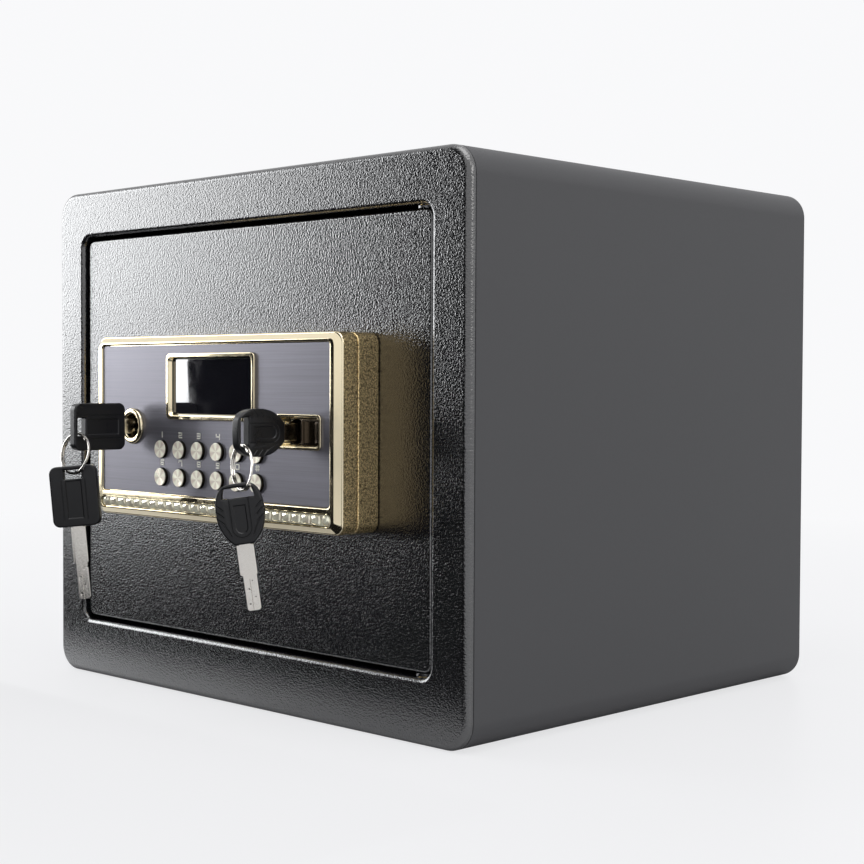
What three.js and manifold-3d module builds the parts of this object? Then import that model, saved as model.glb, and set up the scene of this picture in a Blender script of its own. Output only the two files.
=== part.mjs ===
// Electronic home safe with a keypad, a main key and an emergency key.
// Millimetres, +Z up, the door faces -Y, the hinge is on the +X side.
// The origin is the centre of the cabinet's underside.
import * as THREE from 'three';
import { mergeVertices } from 'three/addons/utils/BufferGeometryUtils.js';
import Module from 'manifold-3d';

const wasm = await Module();
wasm.setup();

// Clearances
const seatGap = 0.3;
const doorGap = 2.1;

// Cabinet
const cabinetWidth = 354;
const cabinetHeight = 300;
const cabinetDepth = 305;
const cabinetCorner = 15;
const wrapWall = 2;
const backInset = 4;
const backSheet = 2;
const anchorHoleRadius = 5;
const anchorSpacing = 180;
const anchorHeight = 200;
const matThickness = 3;

// Front frame
const frameSheet = 2.5;
const frameLip = 5;
const frameEdgeRoll = 3.5;
const frameSkirt = 16;
const stileWidth = 25.5;
const topRail = 28;
const bottomRail = 34;
const openingCorner = 7;
const openingRoll = 2.5;
const jambDepth = 32;

// Door
const doorRecess = 3;
const doorSheet = 2.5;
const doorFlange = 22;
const doorEdgeRoll = 1.6;
const coverSheet = 1.5;
const coverRim = 11;
const coverRise = 20;
const coverDraft = 7;
const postRadius = 4;

// Hinge
const hingeInset = 8.5;
const hingeSetback = 5.3;
const hingePinRadius = 2.5;
const hingePinReach = 9;
const hingeBlockHeight = 22;
const bushWall = 1.2;
const bracketHeight = 9;

// Shelf
const shelfHeight = 160;
const shelfSheet = 1.5;
const shelfDepth = 205;
const shelfLip = 12;
const railWidth = 12;

// Locking mechanism
const boltRadius = 7;
const boltSpacing = 108;
const boltThrow = 14;
const boltSetback = 11.5;
const tenonRadius = 4;
const drawbarSheet = 3;
const drawbarHeight = 24;
const camReach = 10;
const camSheet = 2.5;
const camPinRadius = 3;
const camSlotPlay = 0.7;
const leverReach = 17.8;
const guideSheet = 3;
const guideOffset = 20;
const plateSheet = 1.5;
const plateColumn = 26;
const plateArm = 18;
const plateOverhang = 16;
const boltSpan = 38.5;
const drawbarWidth = 18;
const drawbarOverhang = 12;
const slotHalfLength = 14;
const studRadius = 3;
const solenoidWidth = 20;
const solenoidHeight = 34;
const solenoidRise = 20;
const solenoidOffset = 17;
const coilRadius = 8;
const plungerRadius = 3;
const plungerHead = 5.5;

// Batteries
const cellRadius = 7.1;
const cellLength = 50;
const cellPitch = 15;
const cellCount = 4;
const trayWall = 1.6;
const contactRoom = 8;
const batteryMargin = 54.4;
const batteryDrop = 82;

// Control panel
const panelMargin = 48.6;
const panelRaise = 3.7;
const panelWidth = 212.6;
const panelHeight = 103.6;
const panelCorner = 6;
const panelDepth = 25;
const panelWall = 3;
const rearTierDepth = 14.5;
const bezelRise = 3.2;
const bezelSlope = 3.8;
const faceWidth = 198.4;
const faceTop = 46.7;
const faceBottom = -38;
const faceSheet = 1.5;
const faceInset = 1;

// Stone strip under the faceplate
const stoneWidth = 7.5;
const stoneHeight = 5.7;
const stonePitch = 7.7;
const stoneCount = 26;
const stripDrop = 44.4;
const stripDepth = 1.6;

// Display
const displayWidth = 77.2;
const displayHeight = 37.1;
const displayRise = 23.2;
const displayShift = 2;
const displayRim = 2.2;
const displaySlope = 0.8;
const displaySlopeDepth = 2.2;
const displayDepth = 2.8;
const windowSheet = 1.2;

// Keypad
const buttonRadius = 5;
const buttonPitch = 16.75;
const buttonColumns = 6;
const buttonRowTop = -12.3;
const buttonRowBottom = -28;
const buttonProud = 2;
const buttonTravel = 0.9;
const boardSheet = 1.6;
const boardTop = 42;
const boardBottom = 38;
const boardStandOff = 6;
const moduleInset = 5;
const wireHoleRadius = 6;
const wireHoleRise = 30;

// Locks
const lockOffset = 69.5;
const lockRise = 0.2;
const lockBodyRadius = 9;
const plugRadius = 6;
const keyRingRim = 10.25;
const trayWidth = 35.3;
const trayHeight = 18.4;
const trayOverhang = 12.1;
const trayDepth = 4.6;
const mouthRadius = 6.6;
const slideWidth = 13.6;

// Keys
const keySheet = 2.3;
const bowThickness = 5.4;
const bowEdge = 0.9;
const mainBowLength = 31;
const mainBowWidth = 24.6;
const mainNeck = 9.8;
const mainBladeLength = 34;
const mainBladeWidth = 8.9;
const mainBladeStep = 15.3;
const mainStandOff = 6.8;
const mainSlotFar = 7.2;
const mainSlotNear = 8.4;
const mainHangPlay = 0.8;
const spareBowLength = 34;
const spareBowWidth = 26.6;
const spareBladeLength = 41;
const spareBladeWidth = 8.5;
const spareBladeStep = 20;
const spareStandOff = 7.4;
const spareSlotHalf = 5.1;
const spareHangPlay = 1.45;
const slotWall = 2.2;
const slotReach = 5.2;
const slotEdge = 0.7;
const tangLength = 8;
const ringRadius = 11.3;
const ringWire = 1.2;
const ringBand = 1.5;
const ringPitch = 1.4;
const ringPlay = 0.55;
const hangTurn = 0.77;

// Places worked out from the sizes
const frontY = -cabinetDepth / 2;
const backY = cabinetDepth / 2;
const openingHalf = cabinetWidth / 2 - stileWidth;
const openingBottom = bottomRail;
const openingTop = cabinetHeight - topRail;
const openingMidZ = (openingTop + openingBottom) / 2;
const openingHalfZ = (openingTop - openingBottom) / 2;
const doorHalf = openingHalf - doorGap;
const doorHalfZ = openingHalfZ - doorGap;
const doorCorner = openingCorner - doorGap;
const doorTop = openingMidZ + doorHalfZ;
const doorBottom = openingMidZ - doorHalfZ;
const doorFaceY = frontY + doorRecess;
const doorInnerY = doorFaceY + doorSheet;
const doorBackY = doorFaceY + doorFlange;
const hingeX = doorHalf - hingeInset;
const hingeY = doorFaceY + hingeSetback;
const panelCentreX = panelMargin + panelWidth / 2 - doorHalf;
const panelCentreZ = openingMidZ + panelRaise;
const panelBackY = doorFaceY - seatGap;
const tierY = panelBackY - rearTierDepth;
const panelEdgeY = panelBackY - panelDepth;
const ridgeY = panelEdgeY - bezelRise;
const faceY = ridgeY + faceInset;
const faceBackY = faceY + faceSheet;
const boardFrontY = faceBackY + boardStandOff;
const boltY = doorFaceY + boltSetback;
const drawbarY = boltY + 2;
const camY = drawbarY - 4.5;
const lockEndY = camY - 1.5;
const mainLockX = panelCentreX + lockOffset;
const spareLockX = panelCentreX - lockOffset;
const lockZ = panelCentreZ + lockRise;
const coverY = doorBackY - 2;
const coverTopY = coverY + coverRise;
const coverHalf = doorHalf - doorSheet - seatGap;
const coverHalfZ = doorHalfZ - doorSheet - seatGap;

// Finishes
const finishes = {
  grainedBlack: { color: 0x0b0b0c, roughness: 0.35, metalness: 0.1 },
  smoothGrey: { color: 0x3a3a3d, roughness: 0.5, metalness: 0.1 },
  polishedGold: { color: 0xd9bd7c, roughness: 0.12, metalness: 1 },
  texturedGold: { color: 0xa8894c, roughness: 0.5, metalness: 0.8 },
  gunmetal: { color: 0x47464b, roughness: 0.35, metalness: 0.8 },
  blackPlastic: { color: 0x0c0c0d, roughness: 0.45, metalness: 0 },
  blackGlass: { color: 0x030304, roughness: 0.05, metalness: 0 },
  crystal: { color: 0xf4f0e8, roughness: 0.05, metalness: 0 },
  steel: { color: 0xb9b7b2, roughness: 0.3, metalness: 1 },
  zinc: { color: 0x9a9a98, roughness: 0.45, metalness: 0.9 },
  brass: { color: 0xb8934a, roughness: 0.35, metalness: 0.9 },
  felt: { color: 0x1c1d20, roughness: 0.95, metalness: 0 },
  board: { color: 0x1d5a34, roughness: 0.5, metalness: 0 },
};

// Turns a closed geometry into a solid, with its faces pointing out.
function solid(geometry) {
  const bare = geometry.clone();
  bare.deleteAttribute('normal');
  bare.deleteAttribute('uv');
  const merged = mergeVertices(bare, 1e-4);
  const points = merged.attributes.position.array;
  const faces = [];
  for (let i = 0; i < merged.index.count; i += 3) {
    const [a, b, c] = [merged.index.getX(i), merged.index.getX(i + 1), merged.index.getX(i + 2)];
    if (a !== b && b !== c && c !== a) {
      faces.push(a, b, c);
    }
  }
  let sixVolumes = 0;
  const corner = (i) => new THREE.Vector3().fromArray(points, 3 * i);
  for (let i = 0; i < faces.length; i += 3) {
    sixVolumes += corner(faces[i]).dot(corner(faces[i + 1]).cross(corner(faces[i + 2])));
  }
  if (sixVolumes < 0) {
    faces.reverse();
  }
  return new wasm.Manifold(new wasm.Mesh({
    numProp: 3,
    vertProperties: new Float32Array(points),
    triVerts: new Uint32Array(faces),
  }));
}

// Turns a solid back into a geometry.
function skin(manifold) {
  const mesh = manifold.getMesh();
  const geometry = new THREE.BufferGeometry();
  geometry.setAttribute('position', new THREE.BufferAttribute(new Float32Array(mesh.vertProperties), 3));
  geometry.setIndex(new THREE.BufferAttribute(new Uint32Array(mesh.triVerts), 1));
  geometry.computeVertexNormals();
  return geometry;
}

function join(...geometries) {
  return skin(geometries.map(solid).reduce((whole, extra) => whole.add(extra)));
}

function cut(base, ...tools) {
  return skin(tools.map(solid).reduce((whole, tool) => whole.subtract(tool), solid(base)));
}

// Box between two corners.
function block(x0, x1, y0, y1, z0, z1) {
  const geometry = new THREE.BoxGeometry(x1 - x0, y1 - y0, z1 - z0);
  return geometry.translate((x0 + x1) / 2, (y0 + y1) / 2, (z0 + z1) / 2);
}

// Round bars along the three axes.
function barX(radius, x0, x1, y, z, sides = 20) {
  const geometry = new THREE.CylinderGeometry(radius, radius, x1 - x0, sides);
  return geometry.rotateZ(Math.PI / 2).translate((x0 + x1) / 2, y, z);
}

function barY(radius, y0, y1, x, z, sides = 20) {
  return new THREE.CylinderGeometry(radius, radius, y1 - y0, sides).translate(x, (y0 + y1) / 2, z);
}

function barZ(radius, z0, z1, x, y, sides = 20) {
  const geometry = new THREE.CylinderGeometry(radius, radius, z1 - z0, sides);
  return geometry.rotateX(Math.PI / 2).translate(x, y, (z0 + z1) / 2);
}

// Turned pieces: the profile is a list of [radius, place along the axis].
function turnedY(profile, x, z, sides = 24) {
  const points = profile.map(([radius, y]) => new THREE.Vector2(radius, y));
  return new THREE.LatheGeometry(points, sides).translate(x, 0, z);
}

function turnedZ(profile, x, y, sides = 24) {
  const points = profile.map(([radius, z]) => new THREE.Vector2(radius, z));
  return new THREE.LatheGeometry(points, sides).rotateX(Math.PI / 2).translate(x, y, 0);
}

// Rounded rectangle as a shape, centred on (x, z).
function roundedShape(halfX, halfZ, radius, x = 0, z = 0) {
  const r = Math.max(0.01, Math.min(radius, halfX, halfZ));
  const shape = new THREE.Shape();
  shape.absarc(x + halfX - r, z + halfZ - r, r, 0, Math.PI / 2);
  shape.absarc(x - halfX + r, z + halfZ - r, r, Math.PI / 2, Math.PI);
  shape.absarc(x - halfX + r, z - halfZ + r, r, Math.PI, 1.5 * Math.PI);
  shape.absarc(x + halfX - r, z - halfZ + r, r, 1.5 * Math.PI, 2 * Math.PI);
  shape.closePath();
  return shape;
}

// Sheet or slab: a shape in X and Z, carried along Y from y0 to y1.
function slab(shape, y0, y1, edge = 0, segments = 5, edgeSegments = 2) {
  const geometry = new THREE.ExtrudeGeometry(shape, {
    depth: y1 - y0 - 2 * edge,
    bevelEnabled: edge > 0,
    bevelSize: edge,
    bevelThickness: edge,
    bevelOffset: -edge,
    bevelSegments: edgeSegments,
    curveSegments: segments,
  });
  return geometry.rotateX(Math.PI / 2).translate(0, y1 - edge, 0);
}

// Points of a rounded rectangle at one depth, for lofts.
function outline({ halfX, halfZ, radius, x = 0, z = 0, y }, cornerSteps) {
  const r = Math.max(0.2, Math.min(radius, halfX, halfZ));
  const points = [];
  for (let corner = 0; corner < 4; corner += 1) {
    const cx = x + (corner === 0 || corner === 3 ? halfX - r : r - halfX);
    const cz = z + (corner < 2 ? halfZ - r : r - halfZ);
    for (let step = 0; step <= cornerSteps; step += 1) {
      const angle = (corner + step / cornerSteps) * Math.PI / 2;
      points.push(new THREE.Vector3(cx + r * Math.cos(angle), y, cz + r * Math.sin(angle)));
    }
  }
  return points;
}

// Loft through rounded rectangles. A rim closes on itself, a body has two ends.
function loft(sections, { rim = false, cornerSteps = 5 } = {}) {
  const rows = sections.map((section) => outline(section, cornerSteps));
  const around = rows[0].length;
  const faces = [];
  const last = rim ? rows.length : rows.length - 1;
  for (let row = 0; row < last; row += 1) {
    const here = row * around;
    const next = ((row + 1) % rows.length) * around;
    for (let i = 0; i < around; i += 1) {
      const j = (i + 1) % around;
      faces.push(here + i, here + j, next + j, here + i, next + j, next + i);
    }
  }
  if (!rim) {
    const end = (rows.length - 1) * around;
    for (let i = 1; i < around - 1; i += 1) {
      faces.push(0, i + 1, i, end, end + i, end + i + 1);
    }
  }
  const geometry = new THREE.BufferGeometry().setFromPoints(rows.flat());
  geometry.setIndex(faces);
  return geometry;
}

// Quarter round between two directions, as steps from 0 to 1.
function quarter(steps) {
  return Array.from({ length: steps + 1 }, (_, i) => (i / steps) * Math.PI / 2);
}

const safe = new THREE.Group();

function place(name, geometry, finish, parent = safe) {
  const mesh = new THREE.Mesh(geometry, new THREE.MeshStandardMaterial(finishes[finish]));
  mesh.name = name;
  parent.add(mesh);
  return mesh;
}

// Cabinet: one sheet wrapped round the four sides, open at the front and back.
function cabinetWrap() {
  const shape = roundedShape(cabinetWidth / 2, cabinetHeight / 2, cabinetCorner, 0, cabinetHeight / 2);
  const innerX = cabinetWidth / 2 - wrapWall;
  const innerZ = cabinetHeight / 2 - wrapWall;
  shape.holes.push(roundedShape(innerX, innerZ, cabinetCorner - wrapWall, 0, cabinetHeight / 2));
  const tube = slab(shape, frontY + frameLip + seatGap, backY, 0, 8);
  const holes = [-1, 1].map((side) => barZ(
    anchorHoleRadius, -wrapWall, 2 * wrapWall, side * anchorSpacing / 2, 0, 16,
  ));
  return join(cut(tube, ...holes), ...shelfRails());
}

function backPlate() {
  const fit = wrapWall + seatGap;
  const ring = (inset, y) => ({
    halfX: cabinetWidth / 2 - inset,
    halfZ: cabinetHeight / 2 - inset,
    radius: cabinetCorner - inset,
    z: cabinetHeight / 2,
    y,
  });
  const pan = loft([ring(fit, backY - backInset - backSheet), ring(fit, backY)]);
  const pocket = loft([ring(fit + backSheet, backY - backInset), ring(fit + backSheet, backY + 1)]);
  const holes = [-1, 1].map((side) => barY(
    anchorHoleRadius, backY - 20, backY, side * anchorSpacing / 2, anchorHeight, 16,
  ));
  return cut(pan, pocket, ...holes);
}

// Front frame: a pressed sheet with a rolled outer edge, a rolled opening,
// a jamb that runs back round the door and a skirt that sits inside the wrap.
function frontFrame() {
  const outer = (inset, y) => ({
    halfX: cabinetWidth / 2 - inset,
    halfZ: cabinetHeight / 2 - inset,
    radius: cabinetCorner - inset,
    z: cabinetHeight / 2,
    y: frontY + y,
  });
  const inner = (grow, y) => ({
    halfX: openingHalf + grow,
    halfZ: openingHalfZ + grow,
    radius: openingCorner + grow,
    z: openingMidZ,
    y: frontY + y,
  });
  const skirt = wrapWall + seatGap;
  const edge = quarter(4).map((t) => outer(
    frameEdgeRoll * (1 - Math.cos(t)), frameEdgeRoll * (1 - Math.sin(t)),
  ));
  const roll = quarter(3).map((t) => inner(
    openingRoll * (1 - Math.sin(t)), openingRoll * (1 - Math.cos(t)),
  ));
  const sheet = loft([
    outer(0, frameLip),
    ...edge,
    ...roll,
    inner(0, jambDepth),
    inner(frameSheet, jambDepth),
    inner(frameSheet, frameSheet + 1.5),
    inner(frameSheet + 1.5, frameSheet),
    outer(skirt + frameSheet, frameSheet),
    outer(skirt + frameSheet, frameSkirt),
    outer(skirt, frameSkirt),
    outer(skirt, frameLip),
  ], { rim: true, cornerSteps: 5 });
  const boltHoles = boltHeights().map((z) => barX(
    boltRadius + 1, -openingHalf - 2 * frameSheet, -openingHalf + 2, boltY, z,
  ));
  const bushReach = frameSheet + bracketHeight + 1;
  const bushHoles = [openingTop, openingBottom].map((z) => barZ(
    bushRadius() + seatGap, z - bushReach, z + bushReach, hingeX, hingeY,
  ));
  return cut(join(sheet, ...hingeBrackets()), ...boltHoles, ...bushHoles);
}

function boltHeights() {
  return [-1, 1].map((side) => openingMidZ + side * boltSpacing / 2);
}

function bushRadius() {
  return hingePinRadius + seatGap + bushWall;
}

// Blocks welded behind the frame, above and below the opening, that hold the bushes.
function hingeBrackets() {
  const y0 = frontY + frameSheet - 0.2;
  const depth = 2 * (hingeY - y0);
  return [1, -1].map((side) => {
    const jamb = side > 0 ? openingTop : openingBottom;
    const near = jamb + side * (frameSheet - 0.2);
    const far = near + side * bracketHeight;
    return block(hingeX - 11, hingeX + 9, y0, y0 + depth, Math.min(near, far), Math.max(near, far));
  });
}

// Flanged bushes: the flange is a thrust washer in the gap beside the door.
function hingeBush(side) {
  const bore = hingePinRadius + seatGap;
  const flange = bushRadius() + 1;
  const jamb = side > 0 ? openingTop : openingBottom;
  const inside = jamb - side * (doorGap - seatGap);
  const face = jamb - side * seatGap;
  const end = jamb + side * (frameSheet + bracketHeight);
  return skin(solid(turnedZ([
    [bore, inside],
    [flange, inside],
    [flange, face],
    [bushRadius(), face],
    [bushRadius(), end],
    [bore, end],
    [bore, inside],
  ], hingeX, hingeY, 16)));
}

function floorMat() {
  const half = cabinetWidth / 2 - cabinetCorner - 1;
  const z0 = wrapWall + seatGap;
  const front = frontY + jambDepth + 6;
  const shape = new THREE.Shape();
  const back = backY - backInset - backSheet - 2;
  const r = 10;
  shape.absarc(half - r, front + r, r, -Math.PI / 2, 0);
  shape.absarc(half - r, back - r, r, 0, Math.PI / 2);
  shape.absarc(r - half, back - r, r, Math.PI / 2, Math.PI);
  shape.absarc(r - half, front + r, r, Math.PI, 1.5 * Math.PI);
  shape.closePath();
  const mat = new THREE.ExtrudeGeometry(shape, { depth: matThickness, bevelEnabled: false, curveSegments: 4 });
  const holes = [-1, 1].map((side) => barZ(
    anchorHoleRadius + 2, z0 - 1, z0 + matThickness + 1, side * anchorSpacing / 2, 0, 12,
  ));
  return cut(mat.translate(0, 0, z0), ...holes);
}

// Shelf: a sheet with a lip folded down at the front, on two angle rails.
function shelfSpan() {
  const back = backY - backInset - backSheet - 3;
  return { front: back - shelfDepth, back };
}

function shelfTray() {
  const half = cabinetWidth / 2 - wrapWall - 2;
  const { front, back } = shelfSpan();
  const sheet = block(-half, half, front, back, shelfHeight - shelfSheet, shelfHeight);
  const lip = block(-half, half, front, front + shelfSheet, shelfHeight - shelfLip, shelfHeight);
  return join(sheet, lip);
}

// Angle rails welded to the cabinet's sides.
function shelfRails() {
  const wall = cabinetWidth / 2 - wrapWall + 0.2;
  const { front, back } = shelfSpan();
  const top = shelfHeight - shelfSheet - seatGap;
  const y0 = front + shelfSheet + 3;
  const y1 = back - 2;
  return [-1, 1].map((side) => {
    const outer = side * wall;
    const foot = outer - side * railWidth;
    const leg = outer - side * shelfSheet;
    const flat = block(Math.min(outer, foot), Math.max(outer, foot), y0, y1, top - shelfSheet, top);
    const web = block(Math.min(outer, leg), Math.max(outer, leg), y0, y1, top - railWidth, top);
    return join(flat, web);
  });
}

// Door: a pressed pan with posts welded inside for its back cover.
function postPlaces() {
  const x = coverHalf - coverRim / 2;
  const z = coverHalfZ - coverRim / 2;
  const low = hingeBlockHeight + 10;
  return { upper_left: [-x, z], upper_right: [x, z - low], lower_left: [-x, -z], lower_right: [x, low - z] };
}

function doorPan() {
  const shape = roundedShape(doorHalf, doorHalfZ, doorCorner, 0, openingMidZ);
  const body = slab(shape, doorFaceY, doorBackY + doorEdgeRoll, doorEdgeRoll, 4, 2);
  const trim = block(-doorHalf - 5, doorHalf + 5, doorBackY, doorBackY + 10, 0, cabinetHeight);
  const inner = {
    halfX: doorHalf - doorSheet,
    halfZ: doorHalfZ - doorSheet,
    radius: doorCorner - doorSheet,
    z: openingMidZ,
  };
  const pocket = loft([{ ...inner, y: doorInnerY }, { ...inner, y: doorBackY + 1 }]);
  const boltHoles = boltHeights().map((z) => barX(
    boltRadius + 0.5, -doorHalf - 3, doorSheet + 1 - doorHalf, boltY, z,
  ));
  const pinReach = doorSheet + hingeBlockHeight + 1;
  const pinHoles = [doorTop, doorBottom].map((z) => barZ(
    hingePinRadius + seatGap, z - pinReach, z + pinReach, hingeX, hingeY, 16,
  ));
  const lockHoles = [mainLockX, spareLockX].map((x) => barY(
    lockBodyRadius + seatGap, doorFaceY - 1, doorInnerY + 1, x, lockZ,
  ));
  const wireHole = barY(
    wireHoleRadius, doorFaceY - 1, doorInnerY + 1, panelCentreX, panelCentreZ + wireHoleRise, 16,
  );
  const posts = Object.values(postPlaces()).map(([x, z]) => barY(
    postRadius, doorInnerY - 1, coverY - seatGap, x, openingMidZ + z, 10,
  ));
  const pan = cut(body, trim, pocket, ...boltHoles, ...lockHoles, wireHole);
  return cut(join(pan, ...posts, ...hingeBlocks()), ...pinHoles);
}

// Blocks welded into the door's hinge corners, which hold the pins.
function hingeBlocks() {
  return [1, -1].map((side) => {
    const near = (side > 0 ? doorTop : doorBottom) - side * (doorSheet - 0.2);
    const far = near - side * hingeBlockHeight;
    const x1 = doorHalf - doorSheet + 0.2;
    return block(x1 - 16, x1, doorInnerY - 0.2, hingeY + 6, Math.min(near, far), Math.max(near, far));
  });
}

// Plain hinge pin, through its block and out through the door's flange.
function hingePin(side) {
  const edge = side > 0 ? doorTop : doorBottom;
  const head = edge - side * (doorSheet + hingeBlockHeight + seatGap);
  const tip = edge + side * hingePinReach;
  return skin(solid(turnedZ([
    [0, head - side * 2],
    [hingePinRadius - 0.5, head - side * 2],
    [hingePinRadius, head - side * 1.5],
    [hingePinRadius, tip - side * 0.8],
    [hingePinRadius - 0.8, tip],
    [0, tip],
  ], hingeX, hingeY, 16)));
}

// Back cover: a rim inside the pan and a drafted box over the mechanism.
function coverSections(shrink) {
  const box = (inset, y) => ({
    halfX: coverHalf - coverRim - inset - shrink,
    halfZ: coverHalfZ - coverRim - inset - shrink,
    radius: 10 + coverRim - inset - shrink,
    z: openingMidZ,
    y,
  });
  return box;
}

function doorBackCover() {
  const rimShape = roundedShape(coverHalf, coverHalfZ, doorCorner - doorSheet, 0, openingMidZ);
  const rim = slab(rimShape, coverY, coverY + coverSheet, 0, 3);
  const outside = coverSections(0);
  const inside = coverSections(coverSheet);
  const shell = loft([
    outside(0, coverY + coverSheet / 2),
    outside(0, coverY + coverSheet),
    outside(coverDraft * 0.8, coverTopY - 3),
    outside(coverDraft, coverTopY - 1),
    outside(coverDraft + 2, coverTopY),
  ]);
  const hollow = loft([
    inside(0, coverY - 1),
    inside(0, coverY + coverSheet),
    inside(coverDraft * 0.8, coverTopY - 3),
    inside(coverDraft + 1.5, coverTopY - coverSheet),
  ]);
  const box = batterySpan();
  const well = block(
    box.x0 - seatGap, box.x1 + seatGap, coverY, coverTopY + 5, box.z0 - seatGap, box.z1 + seatGap,
  );
  const screwHoles = Object.values(postPlaces()).map(([x, z]) => barY(
    2, coverY - 1, coverY + coverSheet + 1, x, openingMidZ + z, 8,
  ));
  return cut(join(rim, shell), hollow, well, ...screwHoles);
}

function coverScrew([x, z]) {
  const head = coverY + coverSheet + seatGap;
  const end = coverY - seatGap + 0.2;
  const screw = turnedY([
    [0, end],
    [1.7, end],
    [1.7, head],
    [3.6, head],
    [3, head + 1.6],
    [0, head + 2],
  ], x, openingMidZ + z, 8);
  return cut(screw, block(x - 5, x + 5, head + 1.1, head + 3, openingMidZ + z - 0.5, openingMidZ + z + 0.5));
}

// Battery box in the lower left of the cover, for four cells side by side.
function batterySpan() {
  const width = cellCount * cellPitch + 2 * trayWall + 1;
  const height = cellLength + 2 * trayWall + contactRoom;
  const x0 = batteryMargin - doorHalf;
  const z0 = openingMidZ - batteryDrop;
  return { x0, x1: x0 + width, z0, z1: z0 + height, y0: coverTopY - 2 * cellRadius - 2 * trayWall };
}

function batteryBox() {
  const { x0, x1, y0, z0, z1 } = batterySpan();
  const body = block(x0, x1, y0, coverTopY - seatGap, z0, z1);
  const well = block(x0 + trayWall, x1 - trayWall, y0 + trayWall, coverTopY + 3, z0 + trayWall, z1 - trayWall);
  // Low curbs between the cells.
  const curbs = Array.from({ length: cellCount - 1 }, (_, i) => {
    const x = x0 + trayWall + 0.5 + cellPitch * (i + 1);
    return block(x - 0.4, x + 0.4, y0 + 1, y0 + trayWall + 4, z0 + 1, z1 - 1);
  });
  return join(cut(body, well), ...curbs);
}

function batteryLid() {
  const { x0, x1, z0, z1 } = batterySpan();
  const y = coverTopY + seatGap;
  const middle = (x0 + x1) / 2;
  const shape = roundedShape((x1 - x0) / 2 + 2, (z1 - z0) / 2 + 2, 3, middle, (z0 + z1) / 2);
  const plate = slab(shape, y, y + 2, 0.5, 3, 1);
  const ribs = [0, 1, 2].map((i) => block(
    middle - 12, middle + 12, y + 1, y + 2.8, z1 - 10 - 4 * i, z1 - 8.5 - 4 * i,
  ));
  return join(plate, ...ribs);
}

// Locking mechanism behind the door's skin.
function drawbarShape() {
  const half = drawbarHeight / 2;
  const left = drawbarLeft();
  const bar = left + drawbarWidth;
  const right = mainLockX + camReach + 6;
  const reach = boltSpacing / 2 + drawbarOverhang;
  const shape = new THREE.Shape();
  shape.moveTo(left, openingMidZ - reach);
  shape.lineTo(bar, openingMidZ - reach);
  shape.lineTo(bar, lockZ - 2 * half);
  shape.lineTo(bar + half, lockZ - half);
  shape.lineTo(right - 4, lockZ - half);
  shape.quadraticCurveTo(right, lockZ - half, right, lockZ - half + 4);
  shape.lineTo(right, lockZ + half - 4);
  shape.quadraticCurveTo(right, lockZ + half, right - 4, lockZ + half);
  // The fork that the cam pin works in.
  const pin = camPin();
  const forkHalf = camPinRadius + camSlotPlay;
  shape.lineTo(pin.x + forkHalf, lockZ + half);
  shape.lineTo(pin.x + forkHalf, pin.z - camPinRadius - 1);
  shape.lineTo(pin.x - forkHalf, pin.z - camPinRadius - 1);
  shape.lineTo(pin.x - forkHalf, lockZ + half);
  // The notch that the plunger drops into when the bolts are out.
  const notch = solenoidPlace().x + boltThrow;
  shape.lineTo(notch + 6.5, lockZ + half);
  shape.lineTo(notch + 6.5, lockZ + half - 6);
  shape.lineTo(notch - 6.5, lockZ + half - 6);
  shape.lineTo(notch - 6.5, lockZ + half);
  shape.lineTo(bar, lockZ + half);
  shape.lineTo(bar, openingMidZ + reach);
  shape.lineTo(left, openingMidZ + reach);
  shape.closePath();
  const lightening = [-1, 1].map((side) => roundedShape(
    4, slotHalfLength, 4, (left + bar) / 2, openingMidZ + side * (boltSpacing / 2 - drawbarHeight - 2),
  ));
  const slots = studPlaces().map((x) => roundedShape(
    studRadius + 0.5 + boltThrow / 2, studRadius + 0.5, 4, x + boltThrow / 2, lockZ,
  ));
  shape.holes.push(...lightening, ...slots);
  return shape;
}

function drawbarLeft() {
  return boltSpan - doorHalf;
}

function studPlaces() {
  return [spareLockX + 26, mainLockX - 32];
}

function camPin() {
  const reach = camReach * Math.SQRT1_2;
  return { x: mainLockX + reach, z: lockZ + reach };
}

function drawbar() {
  const left = drawbarLeft();
  const plate = slab(drawbarShape(), drawbarY, drawbarY + drawbarSheet, 0, 4);
  const tabs = boltHeights().map((z) => block(
    left, left + drawbarSheet, boltY - boltRadius, drawbarY + 1, z - 10, z + 10,
  ));
  const holes = boltHeights().map((z) => barX(
    tenonRadius + seatGap, left - 1, left + drawbarSheet + 1, boltY, z, 16,
  ));
  const clearance = boltHeights().map((z) => block(
    left + drawbarSheet, left + 15, drawbarY - 1, drawbarY + drawbarSheet + 1, z - 5, z + 5,
  ));
  return cut(join(cut(plate, ...clearance), ...tabs), ...holes);
}

function lockingBolt(z) {
  const tip = seatGap - doorHalf;
  const shoulder = drawbarLeft() - seatGap;
  const tenonEnd = shoulder + drawbarSheet + 5;
  const profile = [
    [0, tip],
    [boltRadius - 1.2, tip],
    [boltRadius, tip + 1.2],
    [boltRadius, shoulder],
    [tenonRadius, shoulder],
    [tenonRadius, tenonEnd],
    [0, tenonEnd],
  ].map(([radius, x]) => new THREE.Vector2(radius, x));
  return skin(solid(new THREE.LatheGeometry(profile, 24).rotateZ(-Math.PI / 2).translate(0, boltY, z)));
}

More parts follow.
